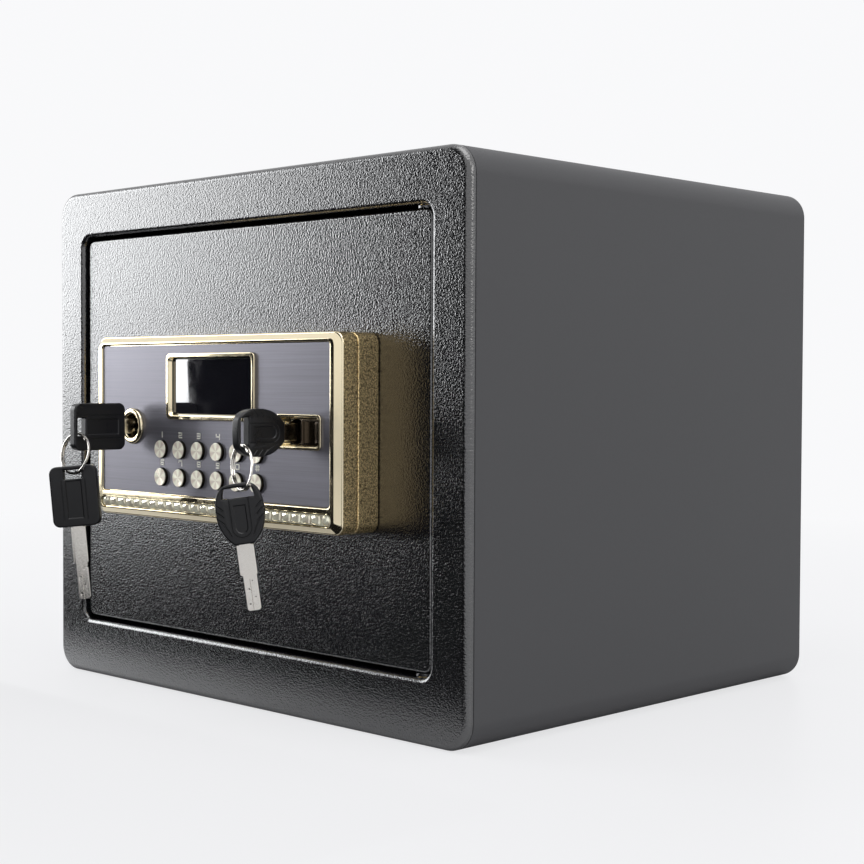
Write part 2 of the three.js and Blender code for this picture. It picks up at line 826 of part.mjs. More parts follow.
// Mechanism plate: a T-shaped base with a folded guide for both bolts and two
// headed studs that the drawbar slides on.
function mechanismPlate() {
  const x0 = guideOffset - doorHalf;
  const front = doorInnerY + seatGap;
  const reach = boltSpacing / 2 + plateOverhang;
  const upright = block(
    x0, x0 + guideSheet, front, boltY + boltRadius + 3, openingMidZ - reach, openingMidZ + reach,
  );
  const shape = new THREE.Shape();
  const column = x0 + plateColumn;
  const arm = column + plateArm;
  const end = mainLockX - lockBodyRadius - plateArm / 2;
  shape.moveTo(x0 + 1, openingMidZ - reach);
  shape.lineTo(column, openingMidZ - reach);
  shape.lineTo(column, lockZ - 2 * plateArm);
  shape.lineTo(arm, lockZ - plateArm);
  shape.lineTo(end, lockZ - plateArm);
  shape.lineTo(end, lockZ + plateArm);
  shape.lineTo(arm, lockZ + plateArm);
  shape.lineTo(column, lockZ + 2 * plateArm);
  shape.lineTo(column, openingMidZ + reach);
  shape.lineTo(x0 + 1, openingMidZ + reach);
  shape.closePath();
  const base = slab(shape, front, front + plateSheet, 0, 3);
  const holes = boltHeights().map((z) => barX(
    boltRadius + seatGap, x0 - 1, x0 + guideSheet + 1, boltY, z, 24,
  ));
  const lockHole = barY(lockBodyRadius + 4, front - 1, front + 5, spareLockX, lockZ);
  const studs = studPlaces().map((x) => turnedY([
    [0, front + 0.5],
    [5, front + 0.5],
    [5, drawbarY - seatGap],
    [studRadius, drawbarY - seatGap],
    [studRadius, drawbarY + drawbarSheet + seatGap],
    [5.5, drawbarY + drawbarSheet + seatGap],
    [5.5, drawbarY + drawbarSheet + 2],
    [0, drawbarY + drawbarSheet + 2],
  ], x, lockZ, 16));
  return join(cut(join(upright, base), ...holes, lockHole), ...studs);
}

// Solenoid: its plunger stands on the drawbar's upper edge.
function solenoidPlace() {
  const bar = lockZ + drawbarHeight / 2;
  return { x: spareLockX - solenoidOffset, y: drawbarY + drawbarSheet / 2, bottom: bar + solenoidRise };
}

function solenoidBody() {
  const { x, y, bottom } = solenoidPlace();
  const half = solenoidWidth / 2;
  const frame = block(x - half, x + half, doorInnerY + seatGap, y + 9, bottom, bottom + solenoidHeight);
  const coilRoom = block(
    x - half - 1, x + half + 1, y - coilRadius, y + solenoidWidth, bottom + 2.5, bottom + solenoidHeight - 2.5,
  );
  const coil = barZ(coilRadius, bottom + 2, bottom + solenoidHeight - 2, x, y, 16);
  const bore = barZ(plungerRadius + seatGap, bottom - 1, bottom + solenoidHeight + 1, x, y, 16);
  return cut(join(cut(frame, coilRoom), coil), bore);
}

function solenoidPlunger() {
  const { x, y, bottom } = solenoidPlace();
  const tip = lockZ + drawbarHeight / 2 + seatGap;
  return skin(solid(turnedZ([
    [0, tip],
    [plungerHead - 0.6, tip],
    [plungerHead, tip + 0.6],
    [plungerHead, tip + 2],
    [plungerRadius, tip + 2.6],
    [plungerRadius, bottom + solenoidHeight - 6],
    [0, bottom + solenoidHeight - 6],
  ], x, y, 16)));
}

// Control panel: the textured housing in two tiers.
function panelOuter(inset, y) {
  return {
    halfX: panelWidth / 2 - inset,
    halfZ: panelHeight / 2 - inset,
    radius: panelCorner - inset * 0.6,
    x: panelCentreX,
    z: panelCentreZ,
    y,
  };
}

function faceOutline(grow, y) {
  return {
    halfX: faceWidth / 2 + grow,
    halfZ: (faceTop - faceBottom) / 2 + grow,
    radius: 2 + grow,
    x: panelCentreX,
    z: panelCentreZ + (faceTop + faceBottom) / 2,
    y,
  };
}

function boardPlace() {
  const halfX = lockOffset - 1.6 * lockBodyRadius;
  return { x0: panelCentreX - halfX, x1: panelCentreX + halfX, y0: boardFrontY, y1: boardFrontY + boardSheet };
}

function panelBase() {
  const tub = loft([
    panelOuter(0, panelBackY),
    panelOuter(0, tierY + 0.8),
    panelOuter(0.8, tierY),
  ], { cornerSteps: 4 });
  const floorY = panelBackY - 2;
  const room = loft([
    panelOuter(panelWall, floorY),
    panelOuter(panelWall, tierY - 1),
  ], { cornerSteps: 4 });
  const lockHoles = [mainLockX, spareLockX].map((x) => barY(
    lockBodyRadius + seatGap, floorY - 2, panelBackY + 2, x, lockZ,
  ));
  const wireHole = barY(
    wireHoleRadius, floorY - 2, panelBackY + 2, panelCentreX, panelCentreZ + wireHoleRise, 16,
  );
  const board = boardPlace();
  const [high, low] = [boardTop - 6, 4 - boardBottom];
  const bosses = [[board.x0 + 5, high], [board.x1 - 5, high], [board.x0 + 5, low], [board.x1 - 5, low]];
  const posts = bosses.map(([x, z]) => barY(
    3, board.y1 + seatGap, floorY + 1, x, panelCentreZ + z, 10,
  ));
  return join(cut(tub, room, ...lockHoles, wireHole), ...posts);
}

function panelBezel() {
  const ledge = faceBackY + seatGap;
  const rim = loft([
    panelOuter(0.8, tierY - seatGap),
    panelOuter(0, tierY - seatGap - 0.8),
    panelOuter(0, panelEdgeY + 0.5),
    panelOuter(0.5, panelEdgeY),
    panelOuter(bezelSlope - 0.6, ridgeY + 0.4),
    panelOuter(bezelSlope, ridgeY),
    faceOutline(1, ridgeY),
    faceOutline(0.3, ridgeY + 0.3),
    faceOutline(0, ridgeY + 0.9),
    faceOutline(0, ledge),
    faceOutline(-2.5, ledge),
    faceOutline(-2.5, ledge + 2),
    faceOutline(0.5, ledge + 2),
    panelOuter(panelWall, tierY - seatGap - 3),
    panelOuter(panelWall, tierY - seatGap),
  ], { rim: true, cornerSteps: 4 });
  const half = stripHalf();
  const z = panelCentreZ - stripDrop;
  const channel = roundedShape(half.x, half.z, half.z, panelCentreX, z);
  return cut(rim, slab(channel, ridgeY - 1, ridgeY + stripDepth, 0, 5));
}

function stripHalf() {
  return { x: stoneCount * stonePitch / 2 + seatGap, z: stoneHeight / 2 + seatGap };
}

// Stones: oval cut gems in a row on one backing strip.
function stoneStrip() {
  const half = stripHalf();
  const z = panelCentreZ - stripDrop;
  const bed = ridgeY + stripDepth - seatGap;
  const shape = roundedShape(half.x - seatGap, half.z - seatGap, half.z - seatGap, panelCentreX, z);
  const backing = slab(shape, bed - 0.5, bed, 0, 4);
  const stones = Array.from({ length: stoneCount }, (_, i) => {
    const x = panelCentreX + (i - (stoneCount - 1) / 2) * stonePitch;
    const r = stoneHeight / 2 - 0.1;
    const gem = new THREE.LatheGeometry([
      new THREE.Vector2(0, bed - 0.2),
      new THREE.Vector2(r, bed - 0.2),
      new THREE.Vector2(r * 0.5, ridgeY - 0.3),
      new THREE.Vector2(0, ridgeY - 0.3),
    ], 8);
    return gem.rotateY(Math.PI / 8).scale(stoneWidth / stoneHeight, 1, 1).translate(x, 0, z);
  });
  return join(backing, ...stones);
}

function buttonPlaces() {
  const places = [];
  for (const row of [buttonRowTop, buttonRowBottom]) {
    for (let column = 0; column < buttonColumns; column += 1) {
      places.push({
        x: panelCentreX + (column - (buttonColumns - 1) / 2) * buttonPitch,
        z: panelCentreZ + row,
      });
    }
  }
  return places;
}

function displayX() {
  return panelCentreX + displayShift;
}

function displayZ() {
  return panelCentreZ + displayRise;
}

function trayCentreX() {
  return mainLockX + trayWidth / 2 - trayOverhang;
}

function faceplate() {
  const fit = faceOutline(-seatGap, 0);
  const shape = roundedShape(fit.halfX, fit.halfZ, fit.radius, fit.x, fit.z);
  const opening = displayHole();
  shape.holes.push(roundedShape(opening.x, opening.z, 2.5, displayX(), displayZ()));
  shape.holes.push(roundedShape(trayWidth / 2 - 1, trayHeight / 2 - 1, 2.2, trayCentreX(), lockZ));
  const plate = slab(shape, faceY, faceBackY, 0, 3);
  const round = [
    ...buttonPlaces().map(({ x, z }) => barY(buttonRadius + seatGap, faceY - 1, faceBackY + 1, x, z, 12)),
    barY(keyRingRim - 2.2, faceY - 1, faceBackY + 1, spareLockX, lockZ),
  ];
  return cut(plate, ...round);
}

function displayHole() {
  return { x: displayWidth / 2 - displayRim, z: displayHeight / 2 - displayRim };
}

function displayBezel() {
  const back = faceY - seatGap;
  const front = back - 1.2;
  const ring = (inset, y) => ({
    halfX: displayWidth / 2 - inset,
    halfZ: displayHeight / 2 - inset,
    radius: 3.2 - inset * 0.4,
    x: displayX(),
    z: displayZ(),
    y,
  });
  const sleeve = displayRim + seatGap;
  const wall = displayRim + displaySlope;
  const deep = front + displayDepth - seatGap;
  return skin(solid(loft([
    ring(0, back),
    ring(0, front + 0.5),
    ring(0.5, front),
    ring(displayRim, front),
    ring(wall, front + displaySlopeDepth),
    ring(wall, deep),
    ring(sleeve, deep),
    ring(sleeve, back),
  ], { rim: true, cornerSteps: 4 })));
}

function displayWindow() {
  const y0 = faceY - seatGap - 1.2 + displayDepth;
  const shape = roundedShape(
    displayWidth / 2 - displayRim - 1, displayHeight / 2 - displayRim - 1, 1.5, displayX(), displayZ(),
  );
  return skin(solid(slab(shape, y0, y0 + windowSheet, 0, 3)));
}

function displayModule() {
  const y0 = faceY - seatGap - 1.2 + displayDepth + windowSheet + seatGap;
  const { y0: boardFront } = boardPlace();
  const halfX = displayWidth / 2 - moduleInset;
  const halfZ = displayHeight / 2 - moduleInset;
  const x = displayX();
  const frame = block(x - halfX, x + halfX, y0, boardFront - seatGap, displayZ() - halfZ, displayZ() + halfZ);
  const screen = block(x - halfX + 4, x + halfX - 4, y0 - 1, y0 + 0.5, displayZ() - halfZ + 4, displayZ() + halfZ - 4);
  return cut(frame, screen);
}

// Board with one push switch behind each button.
function controlBoard() {
  const { x0, x1, y0, y1 } = boardPlace();
  const sheet = block(x0, x1, y0, y1, panelCentreZ - boardBottom, panelCentreZ + boardTop);
  const switchFront = buttonStemEnd() + buttonTravel + 0.2;
  const switches = buttonPlaces().map(({ x, z }) => block(x - 3, x + 3, switchFront, y0 + 0.5, z - 3, z + 3));
  return join(sheet, ...switches);
}

function buttonStemEnd() {
  return faceBackY + 4;
}

function keypadButton({ x, z }) {
  const front = faceY - buttonProud;
  const shoulder = faceBackY + seatGap;
  const stem = 2;
  return skin(solid(turnedY([
    [0, front + 0.25],
    [buttonRadius - 0.5, front],
    [buttonRadius, front + 0.4],
    [buttonRadius, shoulder],
    [buttonRadius + 1.2, shoulder],
    [buttonRadius + 1.2, shoulder + 1],
    [stem, shoulder + 1],
    [stem, buttonStemEnd()],
    [0, buttonStemEnd()],
  ], x, z, 12)));
}

// Emergency lock: a polished ring in the faceplate, a body, and a plug with its cam.
function emergencyLockRing() {
  const back = faceY - seatGap;
  const sleeve = keyRingRim - 2.2 - seatGap;
  const bore = sleeve - 0.9;
  return skin(solid(turnedY([
    [keyRingRim, back],
    [keyRingRim, back - 0.8],
    [keyRingRim - 0.9, back - 1.7],
    [bore + 0.9, back - 1.7],
    [bore, back - 0.9],
    [bore, faceBackY + 1],
    [sleeve, faceBackY + 1],
    [sleeve, back],
    [keyRingRim, back],
  ], spareLockX, lockZ, 24)));
}

function lockBody(x, front) {
  const bore = plugRadius + seatGap;
  const nut = lockBodyRadius + 3;
  const tube = turnedY([
    [bore, front],
    [lockBodyRadius, front],
    [lockBodyRadius, lockEndY - seatGap],
    [bore, lockEndY - seatGap],
    [bore, front],
  ], x, lockZ, 24);
  const hex = new THREE.CylinderGeometry(nut, nut, 3, 6);
  const y = doorInnerY + seatGap + 1.5;
  const ring = cut(hex.translate(x, y, lockZ), barY(lockBodyRadius - 0.5, y - 5, y + 5, x, lockZ, 24));
  return join(tube, ring);
}

function keyway(x, width, front, end) {
  const half = keySheet / 2 + seatGap;
  const halfZ = width / 2 + seatGap;
  return block(x - half, x + half, front - 2, end, lockZ - halfZ, lockZ + halfZ);
}

// Main plug: the cam's pin drives the drawbar.
function mainLockPlug() {
  const front = trayFloorY() + 5;
  const plug = barY(plugRadius, front, lockEndY + 1, mainLockX, lockZ, 24);
  const pin = camPin();
  const hub = barY(plugRadius + 1, lockEndY, lockEndY + camSheet, mainLockX, lockZ, 20);
  const arm = new THREE.BoxGeometry(camReach + 4, camSheet, 9);
  arm.translate((camReach + 4) / 2, lockEndY + camSheet / 2, 0).rotateY(-Math.PI / 4);
  arm.translate(mainLockX, 0, lockZ);
  const stud = barY(camPinRadius, lockEndY + 1, drawbarY + drawbarSheet + 2, pin.x, pin.z, 14);
  return cut(join(plug, hub, arm, stud), keyway(mainLockX, mainBladeWidth, front, mainBladeTipY() + 1));
}

// Emergency plug: its lever lifts the plunger when the key turns.
function emergencyLockPlug() {
  const front = faceBackY + 3;
  const plug = barY(plugRadius, front, lockEndY + 1, spareLockX, lockZ, 24);
  const hub = barY(plugRadius + 1, lockEndY, lockEndY + camSheet, spareLockX, lockZ, 20);
  const shape = new THREE.Shape();
  shape.absarc(0, 0, plugRadius, Math.PI / 2, 1.5 * Math.PI);
  shape.absarc(leverReach, 0, 3.2, -Math.PI / 2, Math.PI / 2);
  shape.closePath();
  const lever = slab(shape, lockEndY, lockEndY + camSheet, 0, 5).rotateY(0.75 * Math.PI);
  lever.translate(spareLockX, 0, lockZ);
  const way = keyway(spareLockX, spareBladeWidth, front, spareBladeTipY() + 1);
  return cut(join(plug, hub, lever), way);
}

// Main lock: a recessed tray with a round key mouth and a sliding cover beside it.
function trayFloorY() {
  return faceY - seatGap - 0.8 + trayDepth;
}

function mainLockTray() {
  const lipBack = faceY - seatGap;
  const lipFront = lipBack - 0.8;
  const x = trayCentreX();
  const lip = slab(roundedShape(trayWidth / 2, trayHeight / 2, 2.6, x, lockZ), lipFront, lipBack, 0.3, 4, 1);
  const tub = slab(
    roundedShape(trayWidth / 2 - 1 - seatGap, trayHeight / 2 - 1 - seatGap, 2, x, lockZ),
    lipBack - 0.4, trayFloorY() + 1.2, 0, 4,
  );
  const hollow = { radius: 1.6, x, z: lockZ };
  const room = loft([
    { ...hollow, halfX: trayWidth / 2 - 1.1, halfZ: trayHeight / 2 - 1.1, y: lipFront - 0.5 },
    { ...hollow, halfX: trayWidth / 2 - 1.1, halfZ: trayHeight / 2 - 1.1, y: lipFront + 0.01 },
    { ...hollow, halfX: trayWidth / 2 - 2.2, halfZ: trayHeight / 2 - 2.2, y: lipFront + 1 },
    { ...hollow, halfX: trayWidth / 2 - 2.2, halfZ: trayHeight / 2 - 2.2, y: trayFloorY() },
  ], { cornerSteps: 4 });
  const mouth = barY(mouthRadius, trayFloorY() - 1, trayFloorY() + 3, mainLockX, lockZ, 24);
  return cut(join(lip, tub), room, mouth);
}

function lockSlideCover() {
  const end = trayCentreX() + trayWidth / 2 - 2.2 - seatGap;
  const start = end - slideWidth;
  const half = trayHeight / 2 - 2.2 - seatGap;
  const back = trayFloorY() - seatGap;
  const front = back - 3.2;
  const shape = roundedShape(slideWidth / 2, half, 1.2, (start + end) / 2, lockZ);
  const plate = slab(shape, front, back, 0.3, 3, 1);
  const dish = barZ(9, lockZ - half + 1.2, lockZ + half - 1.2, (start + end) / 2 + 1.4, front - 7.2, 28);
  const rib = block(start + 0.4, start + 2.2, front - 0.7, front + 1, lockZ - half + 1, lockZ + half - 1);
  return join(cut(plate, dish), rib);
}

// Keys. In its own space a key's neck is at the origin, the blade runs along +Y
// and the bow along -Y, with its width along Z and its thickness along X.
function flatPiece(shape, thickness, edge, segments = 6, edgeSegments = 2) {
  const geometry = new THREE.ExtrudeGeometry(shape, {
    depth: thickness - 2 * edge,
    bevelEnabled: edge > 0,
    bevelSize: edge,
    bevelThickness: edge,
    bevelOffset: -edge,
    bevelSegments: edgeSegments,
    curveSegments: segments,
  });
  // The shape's x runs along Y, its y along Z, and it is extruded along X.
  return geometry.translate(0, 0, edge - thickness / 2).applyMatrix4(new THREE.Matrix4().makeBasis(
    new THREE.Vector3(0, 1, 0), new THREE.Vector3(0, 0, 1), new THREE.Vector3(1, 0, 0),
  ));
}

function slotHole(length, nearSpan, farSpan, grow) {
  const far = slotWall - length - grow;
  const near = slotWall - length + slotReach + grow;
  const [nearHalf, farHalf] = [nearSpan + grow, farSpan + grow];
  const hole = new THREE.Path();
  hole.moveTo(far, -farHalf);
  hole.lineTo(near, -nearHalf);
  hole.lineTo(near, nearHalf);
  hole.lineTo(far, farHalf);
  hole.closePath();
  return new THREE.Shape(hole.getPoints());
}

// Slot for the ring, with a chamfer at both faces of the bow.
function slotCuts(length, nearSpan, farSpan) {
  const mouths = [-1, 1].map((side) => {
    const mouth = flatPiece(slotHole(length, nearSpan, farSpan, slotEdge), 2 * slotEdge, slotEdge, 1, 1);
    return mouth.translate(side * bowThickness / 2, 0, 0);
  });
  return [flatPiece(slotHole(length, nearSpan, farSpan, 0), 20, 0), ...mouths];
}

function mainBow() {
  const half = mainBowWidth / 2;
  const neck = mainNeck / 2;
  const end = -mainBowLength;
  const shape = new THREE.Shape();
  shape.moveTo(0, -neck);
  shape.lineTo(0, neck);
  shape.bezierCurveTo(end * 0.12, neck + 4.2, end * 0.28, half, end * 0.54, half);
  shape.bezierCurveTo(end * 0.78, half, end * 0.94, half * 0.86, end * 0.985, half * 0.5);
  shape.quadraticCurveTo(end * 1.015, 0, end * 0.985, -half * 0.5);
  shape.bezierCurveTo(end * 0.94, -half * 0.86, end * 0.78, -half, end * 0.54, -half);
  shape.bezierCurveTo(end * 0.28, -half, end * 0.12, -neck - 4.2, 0, -neck);
  const body = flatPiece(shape, bowThickness, bowEdge, 5);
  const slot = slotCuts(mainBowLength, mainSlotNear, mainSlotFar);
  const panels = [-1, 1].map((side) => {
    const x = side * bowThickness / 2;
    const flat = roundedShape(mainBowLength * 0.29, 3.2, 3, end * 0.44, 0);
    return flatPiece(flat, 1, 0, 4).translate(x, 0, 0);
  });
  const grooves = [];
  for (const side of [-1, 1]) {
    for (let i = 0; i < 3; i += 1) {
      const groove = new THREE.BoxGeometry(bowThickness + 2, 1.1, 6);
      groove.rotateX(side * 0.9).translate(0, end * (0.5 + 0.11 * i), side * (half + 0.6 - 0.4 * i));
      grooves.push(groove);
    }
  }
  return cut(body, ...slot, ...panels, ...grooves, tangPocket());
}

function emergencyBow() {
  const length = spareBowLength;
  const half = spareBowWidth / 2;
  const body = flatPiece(roundedShape(length / 2, half, 4, -length / 2, 0), bowThickness, bowEdge, 4);
  const slot = slotCuts(length, spareSlotHalf, spareSlotHalf);
  const panels = [-1, 1].map((side) => {
    const x = side * bowThickness / 2;
    const flat = roundedShape((length - 12.4) / 2, 4.4, 0.8, -(length - 12.4) / 2 - 4.2, 0);
    return flatPiece(flat, 1, 0, 2).translate(x, 0, 0);
  });
  return cut(body, ...slot, ...panels, tangPocket());
}

function tangPocket() {
  const half = keySheet / 2 + seatGap;
  return block(-half, half, -tangLength - seatGap, 1, -3.3, 3.3);
}

// Blade: a wide shank, a step, a narrower bit with dimples, and a tang in the bow.
function keyBlade(length, width, step) {
  const half = width / 2;
  const narrow = half - 1.3;
  const round = 1.6;
  const shape = new THREE.Shape();
  shape.moveTo(-tangLength, -3);
  shape.lineTo(seatGap, -3);
  shape.lineTo(seatGap, -half);
  shape.lineTo(step, -half);
  shape.lineTo(step + 1, -narrow);
  shape.lineTo(length - round, -narrow);
  shape.quadraticCurveTo(length, -narrow, length, round - narrow);
  shape.lineTo(length, half - 0.5 - round);
  shape.quadraticCurveTo(length, half - 0.5, length - round, half - 0.5);
  shape.lineTo(step + 0.5, half - 0.5);
  shape.lineTo(step, half);
  shape.lineTo(seatGap, half);
  shape.lineTo(seatGap, 3);
  shape.lineTo(-tangLength, 3);
  shape.closePath();
  const body = flatPiece(shape, keySheet, 0.25, 3, 1);
  const dimples = [];
  for (let i = 0; i < 4; i += 1) {
    const y = step + 4 + i * (length - step - 7) / 3;
    const z = i % 2 === 0 ? 1.4 : -1.2;
    dimples.push(barX(0.9, keySheet / 2 - 0.5, keySheet, y, z, 5));
    dimples.push(barX(0.9, -keySheet, 0.5 - keySheet / 2, y, -z, 5));
  }
  return cut(body, ...dimples);
}

// Split ring: two flat turns side by side, with one crossover. Its axis is Y.
function splitRing() {
  const crossover = 0.8;
  const start = crossover;
  const end = 4 * Math.PI - crossover;
  const steps = 36;
  const sides = [
    [ringBand / 2, 0], [ringBand / 4, ringWire / 2], [-ringBand / 4, ringWire / 2],
    [-ringBand / 2, 0], [-ringBand / 4, -ringWire / 2], [ringBand / 4, -ringWire / 2],
  ];
  const points = [];
  for (let i = 0; i <= steps; i += 1) {
    const angle = start + (end - start) * i / steps;
    const blend = THREE.MathUtils.smoothstep(angle, 2 * Math.PI - crossover, 2 * Math.PI + crossover);
    const shift = (blend - 0.5) * ringPitch;
    for (const [out, along] of sides) {
      const r = ringRadius + out;
      points.push(new THREE.Vector3(r * Math.cos(angle), shift + along, r * Math.sin(angle)));
    }
  }
  const n = sides.length;
  const faces = [];
  for (let i = 0; i < steps; i += 1) {
    for (let k = 0; k < n; k += 1) {
      const [a, b] = [i * n + k, i * n + (k + 1) % n];
      faces.push(a, b, b + n, a, b + n, a + n);
    }
  }
  for (let k = 1; k < n - 1; k += 1) {
    faces.push(0, k + 1, k, steps * n, steps * n + k, steps * n + k + 1);
  }
  const geometry = new THREE.BufferGeometry().setFromPoints(points);
  geometry.setIndex(faces);
  return skin(solid(geometry));
}

function mainNeckY() {
  return faceY - mainStandOff;
}

function spareNeckY() {
  return faceY - spareStandOff;
}

function mainBladeTipY() {
  return mainNeckY() + mainBladeLength;
}

function spareBladeTipY() {
  return spareNeckY() + spareBladeLength;
}

// One key in its lock, the ring through its bow, and the second key on the ring.
function keySet({ prefix, x, neckY, length, slotHalf, bow, blade, ringTurn, ringLean, ringSlip, hangPlay, lean, slip }) {
  const inserted = new THREE.Group();
  inserted.position.set(x, neckY, lockZ);
  safe.add(inserted);
  place(`${prefix}_blade`, blade, 'steel', inserted);
  place(`${prefix}_bow`, bow, 'blackPlastic', inserted);

  // The ring rests on the lower end of the bow's slot and may lean away from the door.
  const slotMiddle = neckY - length + slotWall + slotReach / 2;
  const hook = new THREE.Group();
  hook.position.set(x, slotMiddle - ringSlip, lockZ - slotHalf + ringBand / 2 + ringPlay);
  hook.rotation.set(-ringLean, 0, -ringTurn);
  safe.add(hook);
  const ring = place(`${prefix}_ring`, splitRing(), 'steel', hook);
  ring.position.set(0, 0, -ringRadius);

  // The second key hangs from the ring's lowest point and faces the viewer.
  const drop = new THREE.Vector3(0, 0, -2 * ringRadius).applyEuler(hook.rotation).add(hook.position);
  const hanging = new THREE.Group();
  hanging.position.set(drop.x, drop.y, drop.z + ringBand / 2 + hangPlay);
  hanging.rotation.set(0, 0, hangTurn);
  safe.add(hanging);
  const tilted = new THREE.Group();
  tilted.rotation.set(0, -lean, 0);
  hanging.add(tilted);
  const upright = new THREE.Group();
  upright.rotation.set(-Math.PI / 2, 0, 0);
  upright.position.set(-slip, 0, slotWall - length);
  tilted.add(upright);
  const turned = new THREE.Group();
  turned.rotation.set(0, Math.PI / 2, 0);
  upright.add(turned);
  place(`spare_${prefix}_blade`, blade.clone(), 'steel', turned);
  place(`spare_${prefix}_bow`, bow.clone(), 'blackPlastic', turned);
}

place('cabinet_wrap', cabinetWrap(), 'smoothGrey');
place('front_frame', frontFrame(), 'grainedBlack');
place('back_plate', backPlate(), 'smoothGrey');
place('floor_mat', floorMat(), 'felt');
place('shelf', shelfTray(), 'smoothGrey');
place('hinge_bush_upper', hingeBush(1), 'brass');
place('hinge_bush_lower', hingeBush(-1), 'brass');

place('door_pan', doorPan(), 'grainedBlack');
place('hinge_pin_upper', hingePin(1), 'steel');
place('hinge_pin_lower', hingePin(-1), 'steel');
place('door_back_cover', doorBackCover(), 'smoothGrey');
for (const [corner, spot] of Object.entries(postPlaces())) {
  place(`cover_screw_${corner}`, coverScrew(spot), 'zinc');
}
place('mechanism_plate', mechanismPlate(), 'zinc');
place('drawbar', drawbar(), 'zinc');
place('locking_bolt_upper', lockingBolt(boltHeights()[1]), 'steel');
place('locking_bolt_lower', lockingBolt(boltHeights()[0]), 'steel');
place('solenoid_body', solenoidBody(), 'zinc');
place('solenoid_plunger', solenoidPlunger(), 'steel');
place('battery_box', batteryBox(), 'blackPlastic');
place('battery_lid', batteryLid(), 'blackPlastic');

place('panel_base', panelBase(), 'texturedGold');
place('panel_bezel', panelBezel(), 'polishedGold');
place('stone_strip', stoneStrip(), 'crystal');
place('faceplate', faceplate(), 'gunmetal');
place('display_bezel', displayBezel(), 'polishedGold');
place('display_window', displayWindow(), 'blackGlass');
place('display_module', displayModule(), 'zinc');
place('control_board', controlBoard(), 'board');

const buttonNames = ['1', '2', '3', '4', '5', 'star', '6', '7', '8', '9', '0', 'hash'];
buttonPlaces().forEach((spot, i) => place(`button_${buttonNames[i]}`, keypadButton(spot), 'polishedGold'));

place('emergency_lock_ring', emergencyLockRing(), 'polishedGold');
place('emergency_lock_body', lockBody(spareLockX, faceBackY + 1 + seatGap), 'zinc');
place('emergency_lock_plug', emergencyLockPlug(), 'steel');
place('main_lock_tray', mainLockTray(), 'polishedGold');
place('main_lock_body', lockBody(mainLockX, trayFloorY() + 1.2 + seatGap), 'zinc');
place('main_lock_plug', mainLockPlug(), 'steel');
place('lock_slide_cover', lockSlideCover(), 'polishedGold');

keySet({
  prefix: 'main_key',
  x: mainLockX,
  neckY: mainNeckY(),
  length: mainBowLength,
  bow: mainBow(),
  blade: keyBlade(mainBladeLength, mainBladeWidth, mainBladeStep),
  slotHalf: mainSlotFar + 0.2 * (mainSlotNear - mainSlotFar),
  ringTurn: 0.24,
  ringLean: 0,
  ringSlip: 0,
  hangPlay: mainHangPlay,
  lean: 0.14,
  slip: 2.6,
});

keySet({
  prefix: 'emergency_key',
  x: spareLockX,
  neckY: spareNeckY(),
  length: spareBowLength,
  bow: emergencyBow(),
  blade: keyBlade(spareBladeLength, spareBladeWidth, spareBladeStep),
  slotHalf: spareSlotHalf,
  ringTurn: -0.085,
  ringLean: 0.166,
  ringSlip: 0.9,
  hangPlay: spareHangPlay,
  lean: 0.09,
  slip: -0.2,
});

export default safe;
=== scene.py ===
"""Visible pieces, finishes, stage and camera for an electronic home safe."""

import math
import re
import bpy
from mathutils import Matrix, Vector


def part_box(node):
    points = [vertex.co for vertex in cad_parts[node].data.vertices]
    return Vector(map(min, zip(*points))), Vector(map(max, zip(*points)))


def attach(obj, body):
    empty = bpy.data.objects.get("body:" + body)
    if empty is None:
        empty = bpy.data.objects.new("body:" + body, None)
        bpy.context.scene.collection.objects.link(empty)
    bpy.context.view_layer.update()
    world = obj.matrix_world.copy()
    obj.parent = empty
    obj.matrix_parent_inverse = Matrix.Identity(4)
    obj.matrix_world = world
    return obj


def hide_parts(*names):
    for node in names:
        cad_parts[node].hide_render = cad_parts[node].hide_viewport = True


bl_info = {
    "name": "Electronic Safe",
    "version": (1, 0, 0),
    "blender": (4, 5, 0),
    "location": "View3D > Sidebar > Safe",
    "description": "Builds the detailed pieces and finishes of a home safe with a keypad and two locks",
    "category": "Add Mesh",
}

import bmesh
import bpy
from mathutils import Matrix, Vector
from mathutils.geometry import tessellate_polygon

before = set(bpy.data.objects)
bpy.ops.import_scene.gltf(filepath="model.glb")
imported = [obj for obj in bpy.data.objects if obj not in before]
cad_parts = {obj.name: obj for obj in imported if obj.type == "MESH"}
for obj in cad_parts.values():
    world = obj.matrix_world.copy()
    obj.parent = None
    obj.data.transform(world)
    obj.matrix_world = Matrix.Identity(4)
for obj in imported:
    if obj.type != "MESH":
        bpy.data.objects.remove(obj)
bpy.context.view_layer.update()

# Lengths below are in millimetres, in the frame's axes; meshes are made in metres.
MM = 0.001
# Distances in metres below which points of one mesh are the same point.
SAME_POINT = 1e-7
SAME_CAD_POINT = 0.00001
# Angles in degrees: edges sharper than these stay hard, and the bevels soften those over theirs.
SMOOTH_ANGLE = 35
BUTTON_SMOOTH_ANGLE = 38
BEVEL_ANGLE = 40


def node_box(node):
    """Lowest and highest corner of a CAD node, in millimetres."""
    low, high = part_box(node)
    return low / MM, high / MM


FRAME_LOW, FRAME_HIGH = node_box("front_frame")
WRAP_LOW, WRAP_HIGH = node_box("cabinet_wrap")
DOOR_LOW, DOOR_HIGH = node_box("door_pan")
BASE_LOW, BASE_HIGH = node_box("panel_base")
BEZEL_LOW = node_box("panel_bezel")[0]
FACE_LOW, FACE_HIGH = node_box("faceplate")

# Cabinet: its front is at -Y, its underside at Z 0.
CABINET_HALF = FRAME_HIGH.x
CABINET_HEIGHT = FRAME_HIGH.z
CABINET_CORNER = 15.0
FRONT_Y = FRAME_LOW.y
BACK_Y = WRAP_HIGH.y
WRAP_WALL = 2.0
ANCHOR_X = 90
ANCHOR_Z = 200
ANCHOR_RADIUS = 5
GAP = 0.3

